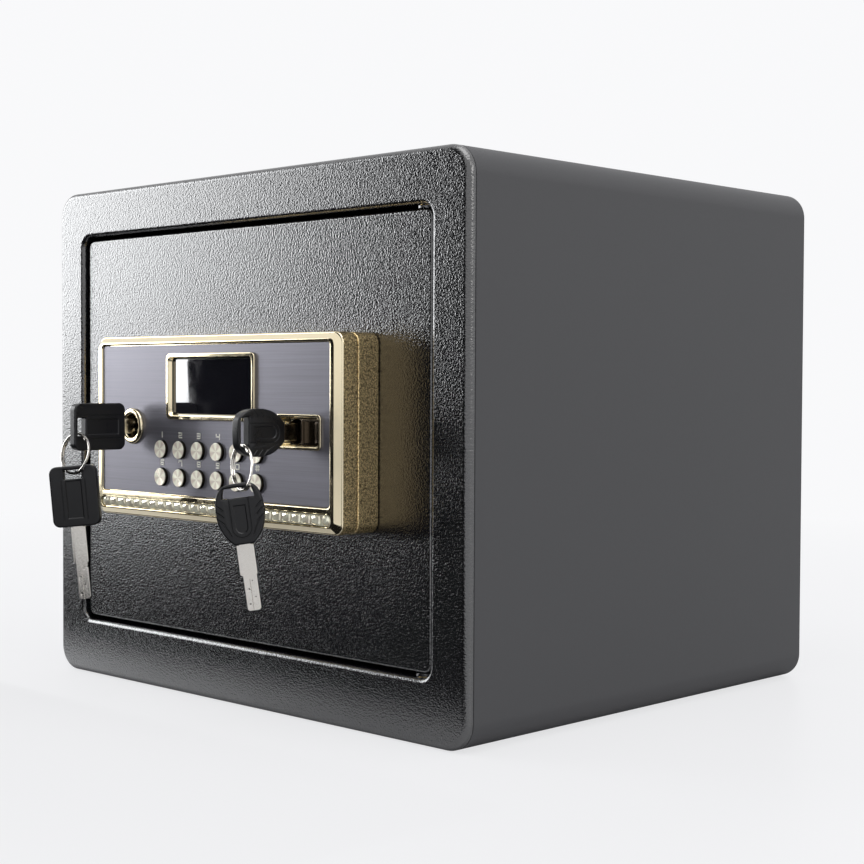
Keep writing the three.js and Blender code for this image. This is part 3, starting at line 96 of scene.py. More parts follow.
# Door, with its hinge axis and the heights of its two bolts.
DOOR_HALF = DOOR_HIGH.x
DOOR_MID_Z = (DOOR_LOW.z + DOOR_HIGH.z) / 2
DOOR_HALF_Z = (DOOR_HIGH.z - DOOR_LOW.z) / 2
DOOR_FACE_Y = DOOR_LOW.y
DOOR_BACK_Y = DOOR_HIGH.y
DOOR_SHEET = 2.5
DOOR_INNER_Y = DOOR_FACE_Y + DOOR_SHEET
COVER_Y = DOOR_BACK_Y - 2
OPENING_HALF = DOOR_HALF + 2.1
OPENING_HALF_Z = DOOR_HALF_Z + 2.1
HINGE_X = DOOR_HALF - 8.5
HINGE_Y = DOOR_FACE_Y + 5.3
BOLT_Y = DOOR_FACE_Y + 11.5
BOLT_REACH = 54
BOLT_HEIGHTS = (DOOR_MID_Z - BOLT_REACH, DOOR_MID_Z + BOLT_REACH)

# Control panel, from its back to the ridge of its bezel, and the display in it.
PANEL_X = (BASE_LOW.x + BASE_HIGH.x) / 2
PANEL_Z = (BASE_LOW.z + BASE_HIGH.z) / 2
PANEL_HALF = (BASE_HIGH.x - BASE_LOW.x) / 2
PANEL_HALF_Z = (BASE_HIGH.z - BASE_LOW.z) / 2
PANEL_BACK_Y = BASE_HIGH.y
TIER_Y = PANEL_BACK_Y - 14.5
RIDGE_Y = BEZEL_LOW.y
PANEL_EDGE_Y = RIDGE_Y + 3.2
FACE_Y = FACE_LOW.y
FACE_BACK_Y = FACE_HIGH.y
FACE_HALF = (FACE_HIGH.x - FACE_LOW.x) / 2 + GAP
FACE_HALF_Z = (FACE_HIGH.z - FACE_LOW.z) / 2 + GAP
FACE_Z = (FACE_HIGH.z + FACE_LOW.z) / 2
GLASS_LOW, GLASS_HIGH = node_box("display_bezel")
DISPLAY_X = (GLASS_LOW.x + GLASS_HIGH.x) / 2
DISPLAY_Z = (GLASS_LOW.z + GLASS_HIGH.z) / 2
DISPLAY_HALF = (GLASS_HIGH.x - GLASS_LOW.x) / 2
DISPLAY_HALF_Z = (GLASS_HIGH.z - GLASS_LOW.z) / 2
DISPLAY_FRONT_Y = GLASS_LOW.y
DISPLAY_BACK_Y = GLASS_HIGH.y
WINDOW_LOW, WINDOW_HIGH = node_box("display_window")

# Locks, the tray round the main one, the strip of stones and the buttons.
LOCK_REACH = 69.5
MAIN_X = PANEL_X + LOCK_REACH
EMERGENCY_X = PANEL_X - LOCK_REACH
LOCK_Z = PANEL_Z + 0.2
LOCK_BORE = 9.3
CABLE_BORE = 6
CABLE_Z = PANEL_Z + 30
TRAY_HALF = 35.3 / 2
TRAY_HALF_Z = 9.2
TRAY_X = MAIN_X + TRAY_HALF - 12.1
TRAY_LIP = 0.8
TRAY_FLOOR_Y = FACE_Y - GAP - TRAY_LIP + 4.6
STRIP_LENGTH = 26 * 7.7
STRIP_Z = PANEL_Z - 44.4
STONE_BED_Y = RIDGE_Y + 1.3
STONE_HALF = 2.85
BUTTON_COLUMNS = [PANEL_X + (column - 2.5) * 16.75 for column in range(6)]
BUTTON_ROWS = (PANEL_Z - 12.3, PANEL_Z - 28.0)
BUTTON_PROUD = 2
BUTTON_RADIUS = 5.0

# Keys: lengths of the heads, their slots and the split rings; the last is an angle in radians.
MAIN_HEAD = 31.0
EMERGENCY_HEAD = 34.0
EMERGENCY_SLOT = 5.1
KEY_SHEET = 2.3
BOW_HALF = 2.7
SLOT_WALL = 2.2
SLOT_REACH = 5.2
RING_RADIUS = 11.3
RING_BAND = 0.75
RING_PLAY = 0.55
HANG_TURN = 0.77


def size(name, description, millimetres):
    """A length property with its default in millimetres."""
    return bpy.props.FloatProperty(
        name=name, description=description, default=millimetres * MM,
        subtype="DISTANCE", unit="LENGTH", precision=5,
    )


def colour(name, description, red, green, blue):
    """A colour property."""
    return bpy.props.FloatVectorProperty(
        name=name, description=description, default=(red, green, blue),
        subtype="COLOR", size=3, min=0.0, max=1.0,
    )


class SafeSizes(bpy.types.PropertyGroup):
    """Sizes of the details that the solids leave to this file."""

    edge_roll: size("Outer roll", "Radius of the front frame's outer edge", 3.5)
    opening_roll: size("Opening roll", "Radius of the frame's edge round the door", 2.5)
    seam_roll: size("Seam roll", "Radius of the sheet edges at the seam behind the frame", 0.5)
    door_roll: size("Door roll", "Radius of the door skin's edge", 1.6)
    grain: size("Grain", "Width of one cell of the black paint's grain", 1.15)
    grain_depth: size("Grain depth", "Height of the black paint's grain", 0.09)
    peel: size("Orange peel", "Width of one cell of the gold lacquer's texture", 0.95)
    peel_depth: size("Orange peel depth", "Height of the gold lacquer's texture", 0.22)
    digit_height: size("Digit height", "Height of the digits over the buttons", 3.3)
    digit_stroke: size("Digit stroke", "Width of a digit's stroke", 0.72)
    turning: size("Turning pitch", "Distance between the turned rings on a button", 0.5)
    groove: size("Key groove", "Radius of the grooves in the key heads", 0.32)
    stones: bpy.props.IntProperty(
        name="Stones", description="Number of stones in the strip", default=26, min=2, max=60,
    )


class SafeColours(bpy.types.PropertyGroup):
    """Base colours of the finishes."""

    black_paint: colour("Black paint", "Grained powder coat on the frame and door", 0.005, 0.005, 0.006)
    grey_paint: colour("Grey paint", "Smooth powder coat on the cabinet's sides", 0.055, 0.055, 0.058)
    gold: colour("Gold", "Polished pale gold of the trim", 0.90, 0.79, 0.55)
    turned: colour("Turned gold", "Faces of the push buttons", 1.0, 0.89, 0.74)
    lacquer: colour("Gold lacquer", "Textured gold on the panel's sides", 0.76, 0.57, 0.29)
    gunmetal: colour("Gunmetal", "Brushed sheet behind the buttons", 0.215, 0.21, 0.24)
    plastic: colour("Black plastic", "Key heads and battery box", 0.005, 0.005, 0.006)
    glass: colour("Display glass", "Dark window of the display", 0.004, 0.004, 0.006)
    stone: colour("Cut stone", "Foil-backed stones in the strip", 1.0, 0.91, 0.72)
    nickel: colour("Nickel", "Key blades and split rings", 0.72, 0.69, 0.64)
    steel: colour("Turned steel", "Bolts, pins and lock plugs", 0.56, 0.55, 0.53)
    zinc: colour("Zinc", "Plated mechanism plates and lock bodies", 0.52, 0.54, 0.55)
    brass: colour("Brass", "Hinge bushes", 0.66, 0.47, 0.19)
    felt: colour("Felt", "Mat on the cabinet's floor", 0.018, 0.018, 0.022)
    board: colour("Circuit board", "Solder mask of the control board", 0.010, 0.085, 0.035)
    # Painted shade and reflection: this nearly black metal stands for the dark inside the keyholes and the
    # dark that the keyhole's cover reflects.
    smoked: colour("Smoked metal", "Lock bodies and the cover over the main keyhole", 0.06, 0.045, 0.03)
    ink: colour("Digits", "Printed digits over the buttons", 0.92, 0.90, 0.80)


class Link:
    """An output of a node, with arithmetic that adds its Math nodes."""

    def __init__(self, nodes, socket):
        self.nodes = nodes
        self.socket = socket

    def other(self, output):
        """Another output of the same node."""
        return Link(self.nodes, self.socket.node.outputs[output])

    def __add__(self, other):
        return self.nodes.maths("ADD", self, other)

    def __sub__(self, other):
        return self.nodes.maths("SUBTRACT", self, other)

    def __mul__(self, other):
        return self.nodes.maths("MULTIPLY", self, other)

    def __pow__(self, other):
        return self.nodes.maths("POWER", self, other)


class Nodes:
    """A node tree that starts empty, with short ways to add its nodes and join them."""

    def __init__(self, owner, output):
        owner.use_nodes = True
        self.tree = owner.node_tree
        self.tree.nodes.clear()
        self.output = self.tree.nodes.new(output)

    def node(self, kind, settings=None, inputs=None, output=0):
        """Adds a node: its settings first, then the values or links of its sockets."""
        node = self.tree.nodes.new(kind)
        for setting, value in (settings or {}).items():
            setattr(node, setting, value)
        for socket, value in (inputs or {}).items():
            self.feed(node.inputs[socket], value)
        return Link(self, node.outputs[output])

    def feed(self, socket, value):
        if isinstance(value, Link):
            self.tree.links.new(value.socket, socket)
        elif socket.type == "RGBA" and len(value) == 3:
            socket.default_value = (*value, 1.0)
        else:
            socket.default_value = value

    def maths(self, operation, *values):
        return self.node("ShaderNodeMath", {"operation": operation}, dict(enumerate(values)))


class Finish(Nodes):
    """A material, with its shader's even values set on the shader's own sockets."""

    def __init__(self, name, **even):
        self.material = bpy.data.materials.new(name)
        super().__init__(self.material, "ShaderNodeOutputMaterial")
        self.shader = self.tree.nodes.new("ShaderNodeBsdfPrincipled")
        self.tree.links.new(self.shader.outputs[0], self.output.inputs[0])
        for socket, value in even.items():
            self.feed(self.shader.inputs[socket.replace("_", " ")], value)

    def vary(self, socket, value):
        """Feeds something that changes over the surface into the shader."""
        self.feed(self.shader.inputs[socket], value)

    def place(self, stretch=None):
        """Coordinates in metres, in the object's own axes, stretched along each axis."""
        spot = self.node("ShaderNodeTexCoord", output="Object")
        if stretch is None:
            return spot
        return self.node("ShaderNodeVectorMath", {"operation": "MULTIPLY"}, {0: spot, 1: stretch})

    def noise(self, spot, scale, detail=2.0, roughness=0.5, distortion=0.0):
        return self.node("ShaderNodeTexNoise", None, {
            "Vector": spot, "Scale": scale, "Detail": detail,
            "Roughness": roughness, "Distortion": distortion,
        })

    def cells(self, spot, scale, feature="F1"):
        return self.node("ShaderNodeTexVoronoi", {"feature": feature}, {"Vector": spot, "Scale": scale})

    def spread(self, value, low, high, to_low=0.0, to_high=1.0):
        """A value brought from one range to another, and held inside it."""
        return self.node("ShaderNodeMapRange", {"clamp": True}, {
            0: value, 1: low, 2: high, 3: to_low, 4: to_high,
        })

    def mix(self, factor, one, two):
        """A colour between two colours."""
        return self.node("ShaderNodeMix", {"data_type": "RGBA"}, {0: factor, 6: one, 7: two}, output=2)

    def gloss(self, factor, smooth, rough):
        """Roughness between two values, by a noise."""
        self.vary("Roughness", self.spread(factor, 0.3, 0.7, smooth, rough))

    def tone(self, factor, shade, dark, light):
        """Base colour between two strengths of a shade."""
        self.vary("Base Color", self.mix(factor, times(shade, dark), times(shade, light)))

    def veil(self, factor, shade):
        """Lays an even glow over the shader, by a factor."""
        glow = self.node("ShaderNodeEmission", None, {"Color": shade, "Strength": 1.0})
        shader = Link(self, self.shader.outputs[0])
        both = self.node("ShaderNodeMixShader", None, {0: factor, 1: shader, 2: glow})
        self.feed(self.output.inputs[0], both)

    def bump(self, height, distance, strength=1.0):
        """Relief from a height, in metres at full height."""
        inputs = {"Height": height, "Distance": distance, "Strength": strength}
        self.vary("Normal", self.node("ShaderNodeBump", None, inputs))


def times(shade, factor):
    """A colour made lighter or darker."""
    return tuple(min(1.0, channel * factor) for channel in shade)


def grained_black(sizes, colours):
    """Glossy powder coat with a leather grain: low rounded cells with fine valleys between them."""
    look = Finish("grained_black", IOR=2.15)
    spot = look.place()
    scale = 1.0 / sizes.grain
    drift = look.noise(spot, scale * 0.8, 1.0)
    moved = look.node("ShaderNodeVectorMath", {"operation": "MULTIPLY_ADD"}, {
        0: drift, 1: (0.0006, 0.0006, 0.0006), 2: spot,
    })
    cell = look.cells(moved, scale, "SMOOTH_F1")
    fine = look.noise(spot, scale * 1.5, 1.0)
    height = look.spread(cell, 0.1, 0.75, 1.0, 0.0) * 0.8 + fine * 1.7
    look.bump(height, sizes.grain_depth)
    patch = look.noise(spot, 9.0, 2.0)
    look.vary("Roughness", look.spread(cell, 0.15, 0.7, 0.13, 0.22) + (patch - 0.5) * 0.05)
    look.tone(look.spread(cell, 0.2, 0.8), colours.black_paint, 1.3, 0.6)
    return look


def smooth_grey(sizes, colours):
    """Matt powder coat with a very fine texture."""
    look = Finish("smooth_grey", Specular_IOR_Level=0.42)
    spot = look.place()
    fine = look.noise(spot, 1500.0, 2.0)
    wide = look.noise(spot, 7.0, 3.0, 0.55)
    look.tone(wide, colours.grey_paint, 0.9, 1.12)
    look.vary("Roughness", look.spread(wide, 0.3, 0.7, 0.5, 0.6) + (fine - 0.5) * 0.12)
    look.bump(fine, 0.00005, 0.55)
    return look


def polished_gold(sizes, colours):
    """Plated pale gold, with faint ripples and handling marks."""
    look = Finish("polished_gold", Metallic=1.0)
    spot = look.place()
    cloud = look.noise(spot, 60.0, 3.0)
    fine = look.noise(spot, 420.0, 2.0)
    look.tone(cloud, colours.gold, 0.96, 1.05)
    look.vary("Roughness", look.spread(cloud, 0.3, 0.75, 0.07, 0.15) + (fine - 0.5) * 0.05)
    look.bump(cloud + fine * 0.15, 0.00006, 0.5)
    return look


def gold_lacquer(sizes, colours):
    """Gold lacquer over a coarse orange peel, with painted shade in its valleys: the base colour drops to a
    quarter there.
    """
    look = Finish("gold_lacquer", Metallic=0.9, Coat_Weight=0.3, Coat_Roughness=0.12)
    spot = look.place()
    scale = 1.0 / sizes.peel
    cell = look.cells(spot, scale, "SMOOTH_F1")
    rough = look.noise(spot, scale * 1.7, 2.0)
    height = look.spread(cell, 0.1, 0.8, 1.0, 0.0) * 0.7 + rough * 0.6
    # Painted shade: the colour darkens with the peel's depth, down to a quarter in the valleys.
    look.tone(look.spread(height, 0.35, 0.95), colours.lacquer, 0.25, 1.35)
    look.gloss(rough, 0.22, 0.38)
    look.bump(height, sizes.peel_depth)
    return look


def brushed_gunmetal(sizes, colours):
    """Lilac-grey sheet with a fine brushing from side to side."""
    look = Finish("brushed_gunmetal", Metallic=0.75, Specular_IOR_Level=0.5)
    lines = look.noise(look.place((18.0, 1.0, 3400.0)), 1.0, 2.0, 0.6)
    broad = look.noise(look.place((6.0, 1.0, 700.0)), 1.0, 2.0)
    streak = lines * 0.6 + broad * 0.4
    look.tone(look.spread(streak, 0.3, 0.7), colours.gunmetal, 0.86, 1.14)
    look.gloss(streak, 0.32, 0.42)
    look.bump(streak, 0.00002, 0.3)
    return look


def turned_gold(sizes, colours):
    """Gold plate with the rings of the turning tool, used on the buttons, with painted highlights: lighter
    and darker wedges round the centre.
    """
    look = Finish("turned_gold", Metallic=0.35)
    spot = look.place()
    across = look.node("ShaderNodeSeparateXYZ", None, {0: spot})
    up = across.other(2)
    radius = (across ** 2.0 + up ** 2.0) ** 0.5
    rings = look.node("ShaderNodeTexNoise", {"noise_dimensions": "1D"}, {
        "W": radius, "Scale": 2600.0, "Detail": 2.0,
    })
    # Painted highlight: five lighter and darker wedges round the centre stand for the shine of a turned face.
    painted_wedges = look.maths("SINE", look.maths("ARCTAN2", up, across) * 5.0)
    light = look.spread(painted_wedges * 0.7 + rings * 0.6, -0.4, 0.9)
    look.tone(light, colours.turned, 0.76, 1.1)
    look.gloss(rings, 0.34, 0.46)
    look.bump(rings, 0.00003, 0.4)
    return look


def display_glass(sizes, colours):
    """Dark window with a trace of fingermarks in its gloss."""
    gloss = {"Specular_IOR_Level": 1.0, "Coat_Weight": 1.0, "Coat_Roughness": 0.01, "Coat_IOR": 1.55}
    look = Finish("display_glass", **gloss)
    spot = look.place()
    smear = look.noise(spot, 45.0, 4.0, 0.6)
    look.vary("Roughness", look.spread(smear, 0.45, 0.8, 0.02, 0.09))
    look.tone(smear, colours.glass, 1.0, 1.6)
    return look


def cut_stone(sizes, colours):
    """Clear stones with a mirrored back: bright facets with fine sparkle."""
    look = Finish("cut_stone", Metallic=0.5, Coat_Weight=1.0, Coat_Roughness=0.02, Coat_IOR=1.7)
    spot = look.place()
    fire = look.cells(spot, 900.0)
    tint = look.noise(spot, 260.0, 1.0)
    look.tone(look.spread(tint, 0.35, 0.65), colours.stone, 0.78, 1.08)
    look.vary("Roughness", look.spread(fire, 0.0, 0.9, 0.02, 0.1))
    return look


def black_plastic(sizes, colours):
    """Moulded plastic with a fine spark-eroded texture and worn edges."""
    look = Finish("black_plastic", Specular_IOR_Level=0.4)
    spot = look.place()
    fine = look.noise(spot, 2300.0, 2.0)
    worn = look.noise(spot, 95.0, 3.0)
    look.tone(worn, colours.plastic, 0.85, 1.3)
    look.vary("Roughness", look.spread(worn, 0.3, 0.7, 0.27, 0.4) + (fine - 0.5) * 0.1)
    look.bump(fine, 0.00003, 0.6)
    return look


def plated(name, shade, roughness, grain, brush=None):
    """Plated or turned metal: clouded gloss with fine marks along one direction."""
    look = Finish(name, Metallic=1.0)
    cloud = look.noise(look.place(), 45.0, 3.0)
    marks = look.noise(look.place(brush), grain, 2.0, 0.6)
    look.tone(cloud, shade, 0.9, 1.08)
    look.vary("Roughness", look.spread(marks, 0.3, 0.7, roughness * 0.75, roughness * 1.3))
    look.bump(marks, 0.00003, 0.45)
    return look


# Plated metals, two of them darkened as painted shade: material, colour, its share, roughness, grain and the
# stretch of the brushing.
PLATED = {
    "nickel": ("nickel_plate", "nickel", 1.0, 0.17, 900.0, None),
    "steel": ("turned_steel", "steel", 1.0, 0.28, 1.0, (4000.0, 900.0, 900.0)),
    "shadow": ("shadow_gold", "gold", 0.06, 0.4, 900.0, None),
    "smoked": ("smoked_metal", "smoked", 1.0, 0.22, 1.0, (900.0, 900.0, 2400.0)),
    "brass": ("bush_brass", "brass", 1.0, 0.26, 1.0, (900.0, 900.0, 5000.0)),
}


def zinc_plate(sizes, colours):
    """Zinc plate with the soft spangle of its crystals."""
    look = Finish("zinc_plate", Metallic=1.0)
    spot = look.place()
    spangle = look.cells(spot, 260.0)
    cloud = look.noise(spot, 35.0, 3.0)
    look.tone(look.spread(spangle, 0.0, 0.9), colours.zinc, 0.82, 1.12)
    look.gloss(cloud, 0.34, 0.48)
    look.bump(spangle, 0.00004, 0.35)
    return look


def needle_felt(sizes, colours):
    """Needled felt: short tangled fibres over a soft pile."""
    look = Finish("needle_felt", Roughness=0.95, Sheen_Weight=0.35, Sheen_Roughness=0.5)
    spot = look.place()
    fibre = look.noise(spot, 1400.0, 4.0, 0.75, 1.6)
    pile = look.noise(spot, 180.0, 3.0)
    look.tone(fibre, colours.felt, 0.45, 2.0)
    look.bump(fibre * 0.7 + pile * 0.5, 0.0006, 0.8)
    return look


def circuit_board(sizes, colours):
    """Green solder mask over copper tracks."""
    look = Finish("circuit_board", Specular_IOR_Level=0.5)
    tracks = look.node("ShaderNodeTexBrick", {"offset": 0.37, "squash": 0.6}, {
        "Vector": look.place(), "Scale": 260.0, "Mortar Size": 0.06,
        "Color1": (0.0, 0.0, 0.0), "Color2": (0.0, 0.0, 0.0), "Mortar": (1.0, 1.0, 1.0),
    })
    look.tone(tracks, colours.board, 1.0, 2.4)
    look.gloss(look.noise(look.place(), 300.0), 0.28, 0.42)
    return look


def printed_ink(sizes, colours):
    """Hot-foil print, slightly uneven."""
    look = Finish("printed_ink", Metallic=0.6)
    spot = look.place()
    uneven = look.noise(spot, 1300.0, 2.0)
    look.tone(uneven, colours.ink, 0.8, 1.1)
    look.gloss(uneven, 0.42, 0.55)
    return look


FINISHES = {
    "black": grained_black, "grey": smooth_grey, "gold": polished_gold, "lacquer": gold_lacquer,
    "gunmetal": brushed_gunmetal, "turned": turned_gold, "glass": display_glass, "stone": cut_stone,
    "plastic": black_plastic, "zinc": zinc_plate, "felt": needle_felt, "board": circuit_board,
    "ink": printed_ink,
}
made_finishes = {}


def finish(name):
    """A finish by its short name, made when it's first used."""
    if name not in made_finishes:
        sizes, colours = bpy.context.scene.safe_sizes, bpy.context.scene.safe_colours
        if name in PLATED:
            material, base, share, *rest = PLATED[name]
            look = plated(material, times(getattr(colours, base), share), *rest)
        else:
            look = FINISHES[name](sizes, colours)
        made_finishes[name] = look.material
    return made_finishes[name]


# Shapes: points and faces in millimetres, turned into meshes in metres.
def quarter(steps):
    """Angles from 0 to a quarter turn."""
    return [step / steps * math.pi / 2 for step in range(steps + 1)]


def ring(half_x, half_z, radius, x, z, y, steps=10):
    """Points of an upright rounded rectangle at one depth."""
    r = max(0.05, min(radius, half_x, half_z))
    points = []
    for corner in range(4):
        cx = x + (half_x - r if corner in (0, 3) else r - half_x)
        cz = z + (half_z - r if corner < 2 else r - half_z)
        for step in range(steps + 1):
            angle = (corner + step / steps) * math.pi / 2
            points.append((cx + r * math.cos(angle), y, cz + r * math.sin(angle)))
    return points


def band(here, there, count):
    """Faces between two closed rows of points, from the first index of each."""
    return [(here + i, here + (i + 1) % count, there + (i + 1) % count, there + i) for i in range(count)]


def loft(rows, closed=False):
    """Surface through rows of points: closed on itself, or capped at both ends."""
    count = len(rows[0])
    points = [point for row in rows for point in row]
    faces = []
    for row in range(len(rows) if closed else len(rows) - 1):
        faces += band(row * count, (row + 1) % len(rows) * count, count)
    if not closed:
        faces.append(tuple(range(count)))
        faces.append(tuple(reversed(range(len(points) - count, len(points)))))
    return points, faces


def lathe(profile, x, z, sides=48, closed=False):
    """Turned piece round an axis along Y: the profile is (radius, depth) pairs."""
    points, rows, faces = [], [], []
    for radius, y in profile:
        if radius <= 0:
            rows.append([len(points)] * sides)
            points.append((x, y, z))
            continue
        rows.append(list(range(len(points), len(points) + sides)))
        for side in range(sides):
            angle = 2 * math.pi * side / sides
            points.append((x + radius * math.cos(angle), y, z + radius * math.sin(angle)))
    for row in range(len(rows) if closed else len(rows) - 1):
        here, there = rows[row], rows[(row + 1) % len(rows)]
        for i in range(sides):
            j = (i + 1) % sides
            corners = list(dict.fromkeys((here[i], here[j], there[j], there[i])))
            if len(corners) > 2:
                faces.append(tuple(corners))
    return points, faces


def bar(radius, start, end, sides=24):
    """Round bar between two points."""
    return sweep([start, end], circle(radius, sides=sides))


def bore(radius, x, z, y0, y1, sides=24):
    """Round bar along Y."""
    return bar(radius, (x, y0, z), (x, y1, z), sides)


def sweep(path, section, up=None):
    """A section of (side, up) pairs carried along a path and capped."""
    path = [Vector(point) for point in path]
    rows = []
    for i, here in enumerate(path):
        before, after = path[max(0, i - 1)], path[min(i + 1, len(path) - 1)]
        along = (after - before).normalized()
        if up is None:
            guide = Vector((0, 0, 1)) if abs(along.z) < 0.9 else Vector((0, 1, 0))
        else:
            guide = Vector(up)
        side = along.cross(guide).normalized()
        top = side.cross(along)
        rows.append([here + side * a + top * b for a, b in section])
    return loft(rows)


def block(x0, x1, y0, y1, z0, z1):
    """Box between two corners."""
    rows = [[(x0, y, z0), (x1, y, z0), (x1, y, z1), (x0, y, z1)] for y in (y0, y1)]
    return loft(rows)


def oval(half_u, half_v, radius, u=0.0, v=0.0, steps=8):
    """Outline of a rounded rectangle in its own plane."""
    return [(point[0], point[2]) for point in ring(half_u, half_v, radius, u, v, 0.0, steps)]


def circle(radius, u=0.0, v=0.0, sides=32):
    """Round outline in its own plane."""
    return [
        (u + radius * math.cos(2 * math.pi * i / sides), v + radius * math.sin(2 * math.pi * i / sides))
        for i in range(sides)
    ]


def shrink(loop, distance):
    """An outline moved inwards by a distance, with mitred corners."""
    count = len(loop)
    loop = [Vector(point) for point in loop]
    area = sum(loop[i - 1].x * loop[i].y - loop[i].x * loop[i - 1].y for i in range(count))
    sign = 1 if area > 0 else -1
    moved = []
    for i, here in enumerate(loop):
        before = (here - loop[i - 1]).normalized()
        after = (loop[(i + 1) % count] - here).normalized()
        one = Vector((-before.y, before.x)) * sign
        two = Vector((-after.y, after.x)) * sign
        moved.append(here + (one + two) * (distance / max(0.3, 1 + one.dot(two))))
    return moved


def roll_in(radius, steps):
    """Insets and depths round an edge, from the face to the side."""
    return [(radius * (1 - math.sin(t)), radius * (1 - math.cos(t))) for t in quarter(steps)]


def roll_out(radius, steps):
    """Insets and depths round an edge, from the side to the face."""
    return [(radius * (1 - math.cos(t)), radius * (1 - math.sin(t))) for t in quarter(steps)]


def rim(x, z, half_x, half_z, corner, steps, share=1.0, way=1):
    """Maker of rounded rectangles round one middle, from an inset and a depth."""
    def row(inset, y):
        inset *= way
        return ring(half_x - inset, half_z - inset, corner - inset * share, x, z, y, steps)

    return row


def stack(row, places, y=0.0, way=1):
    """Rows at (inset, depth) places, with the depths counted from y."""
    return [row(inset, y + way * depth) for inset, depth in places]


def rounded_levels(low, high, edge, steps=3):
    """Insets and heights of a plate whose two rims are rounded."""
    rise = [(inset, low + depth) for inset, depth in roll_in(edge, steps)]
    return rise + [(inset, high - (height - low)) for inset, height in reversed(rise)]


def plate(outline, holes, levels, hole_share=1.0):
    """Plate with holes: outlines in (u, v), which stand along Y at (inset, height) levels."""
    loops = [outline, *holes]
    points, faces, starts = [], [], []
    for number, loop in enumerate(loops):
        starts.append([])
        for inset, height in levels:
            starts[-1].append(len(points))
            share = inset if number == 0 else -inset * hole_share
            points.extend((u, height, v) for u, v in shrink(loop, share))
        for here, there in zip(starts[-1], starts[-1][1:]):
            faces += band(here, there, len(loop))
    for level in (0, len(levels) - 1):
        rims = [range(start[level], start[level] + len(loop)) for start, loop in zip(starts, loops)]
        index = [place for places in rims for place in places]
        flat = [[Vector((points[place][0], points[place][2], 0)) for place in places] for places in rims]
        faces.extend(tuple(index[corner] for corner in corners) for corners in tessellate_polygon(flat))
    return points, faces


def build(name, shape, turn=None):
    """Mesh from points in millimetres, with its faces pointing out."""
    points, faces = shape
    mesh = bpy.data.meshes.new(name)
    mesh.from_pydata([Vector(point) * MM for point in points], [], faces)
    if turn is not None:
        mesh.transform(turn)
    shell = bmesh.new()
    shell.from_mesh(mesh)
    bmesh.ops.remove_doubles(shell, verts=shell.verts, dist=SAME_POINT)
    bmesh.ops.recalc_face_normals(shell, faces=shell.faces)
    shell.to_mesh(mesh)
    shell.free()
    return mesh


def carve(mesh, operation, shapes, turn=None):
    """Joins shapes to a mesh, or cuts them out of it, in one Boolean."""
    work = put("carving", mesh)
    group = bpy.data.collections.new("tools")
    bpy.context.scene.collection.children.link(group)
    tools = []
    for shape in shapes:
        tool = bpy.data.objects.new("tool", build("tool", shape, turn))
        group.objects.link(tool)
        tools.append(tool)
    step = work.modifiers.new("carve", "BOOLEAN")
    step.operation = operation
    step.solver = "EXACT"
    step.operand_type = "COLLECTION"
    step.collection = group
    shaped = bpy.data.meshes.new_from_object(work.evaluated_get(bpy.context.evaluated_depsgraph_get()))
    for tool in tools:
        old = tool.data
        bpy.data.objects.remove(tool)
        bpy.data.meshes.remove(old)
    bpy.data.collections.remove(group)
    bpy.data.objects.remove(work)
    bpy.data.meshes.remove(mesh)
    if len(shaped.polygons) == 0:
        raise RuntimeError("a Boolean left nothing")
    return shaped


def cut(mesh, shapes, turn=None):
    return carve(mesh, "DIFFERENCE", shapes, turn)


def weld(mesh, shapes, turn=None):
    return carve(mesh, "UNION", shapes, turn)


def together(*shapes):
    """Several shapes as one list of points and faces."""
    points, faces = [], []
    for more_points, more_faces in shapes:
        start = len(points)
        points.extend(more_points)
        faces.extend(tuple(start + corner for corner in face) for face in more_faces)
    return points, faces


def put(name, data):
    """New object in the scene."""
    made = bpy.data.objects.new(name, data)
    bpy.context.scene.collection.objects.link(made)
    return made


def fit_out(name, mesh, finishes, body, node=None, smooth=SMOOTH_ANGLE, place=(0, 0, 0)):
    """Puts a mesh into the scene as a piece that rides on a body and stands for a CAD node."""
    mesh.materials.clear()
    for short in finishes.split():
        mesh.materials.append(finish(short))
    mesh.name = name
    piece = put(name, mesh)
    piece.location = place
    if smooth:
        shade(piece, smooth)
    else:
        mesh.shade_flat()
    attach(piece, body)
    if node:
        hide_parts(node)
    return piece


def paint(mesh, index, test):
    """Gives the faces that pass a test the finish with that number."""
    for face in mesh.polygons:
        if test(face.center / MM, face.normal):
            face.material_index = index


def dress(node, short, edge=0.25):
    """Finish and softened edges for a CAD node whose shape stays."""
    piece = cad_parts[node]
    piece.data.materials.clear()
    piece.data.materials.append(finish(short))
    merge = piece.modifiers.new("Merge", "WELD")
    merge.merge_threshold = SAME_CAD_POINT
    if edge:
        soften = piece.modifiers.new("Soften", "BEVEL")
        soften.width = edge * MM
        soften.segments = 2
        soften.limit_method = "ANGLE"
        soften.angle_limit = math.radians(BEVEL_ANGLE)
    shade(piece, SMOOTH_ANGLE)


def paint_gap_shade(node):
    """Painted shade: black paint on the part of a hinge piece that shows in the gap round the door, where the
    gap lies in shade.
    """
    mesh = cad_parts[node].data
    mesh.materials.append(finish("black"))
    paint(mesh, 1, lambda centre, normal: abs(centre.z - DOOR_MID_Z) < OPENING_HALF_Z + 0.1)


def shade(piece, angle):
    """Smooth shading that stops at real edges and keeps flat faces flat."""
    piece.data.shade_smooth()
    piece.data.set_sharp_from_angle(angle=math.radians(angle))
    weigh = piece.modifiers.new("Even faces", "WEIGHTED_NORMAL")
    weigh.mode = "FACE_AREA"
    weigh.weight = 100
    weigh.keep_sharp = True


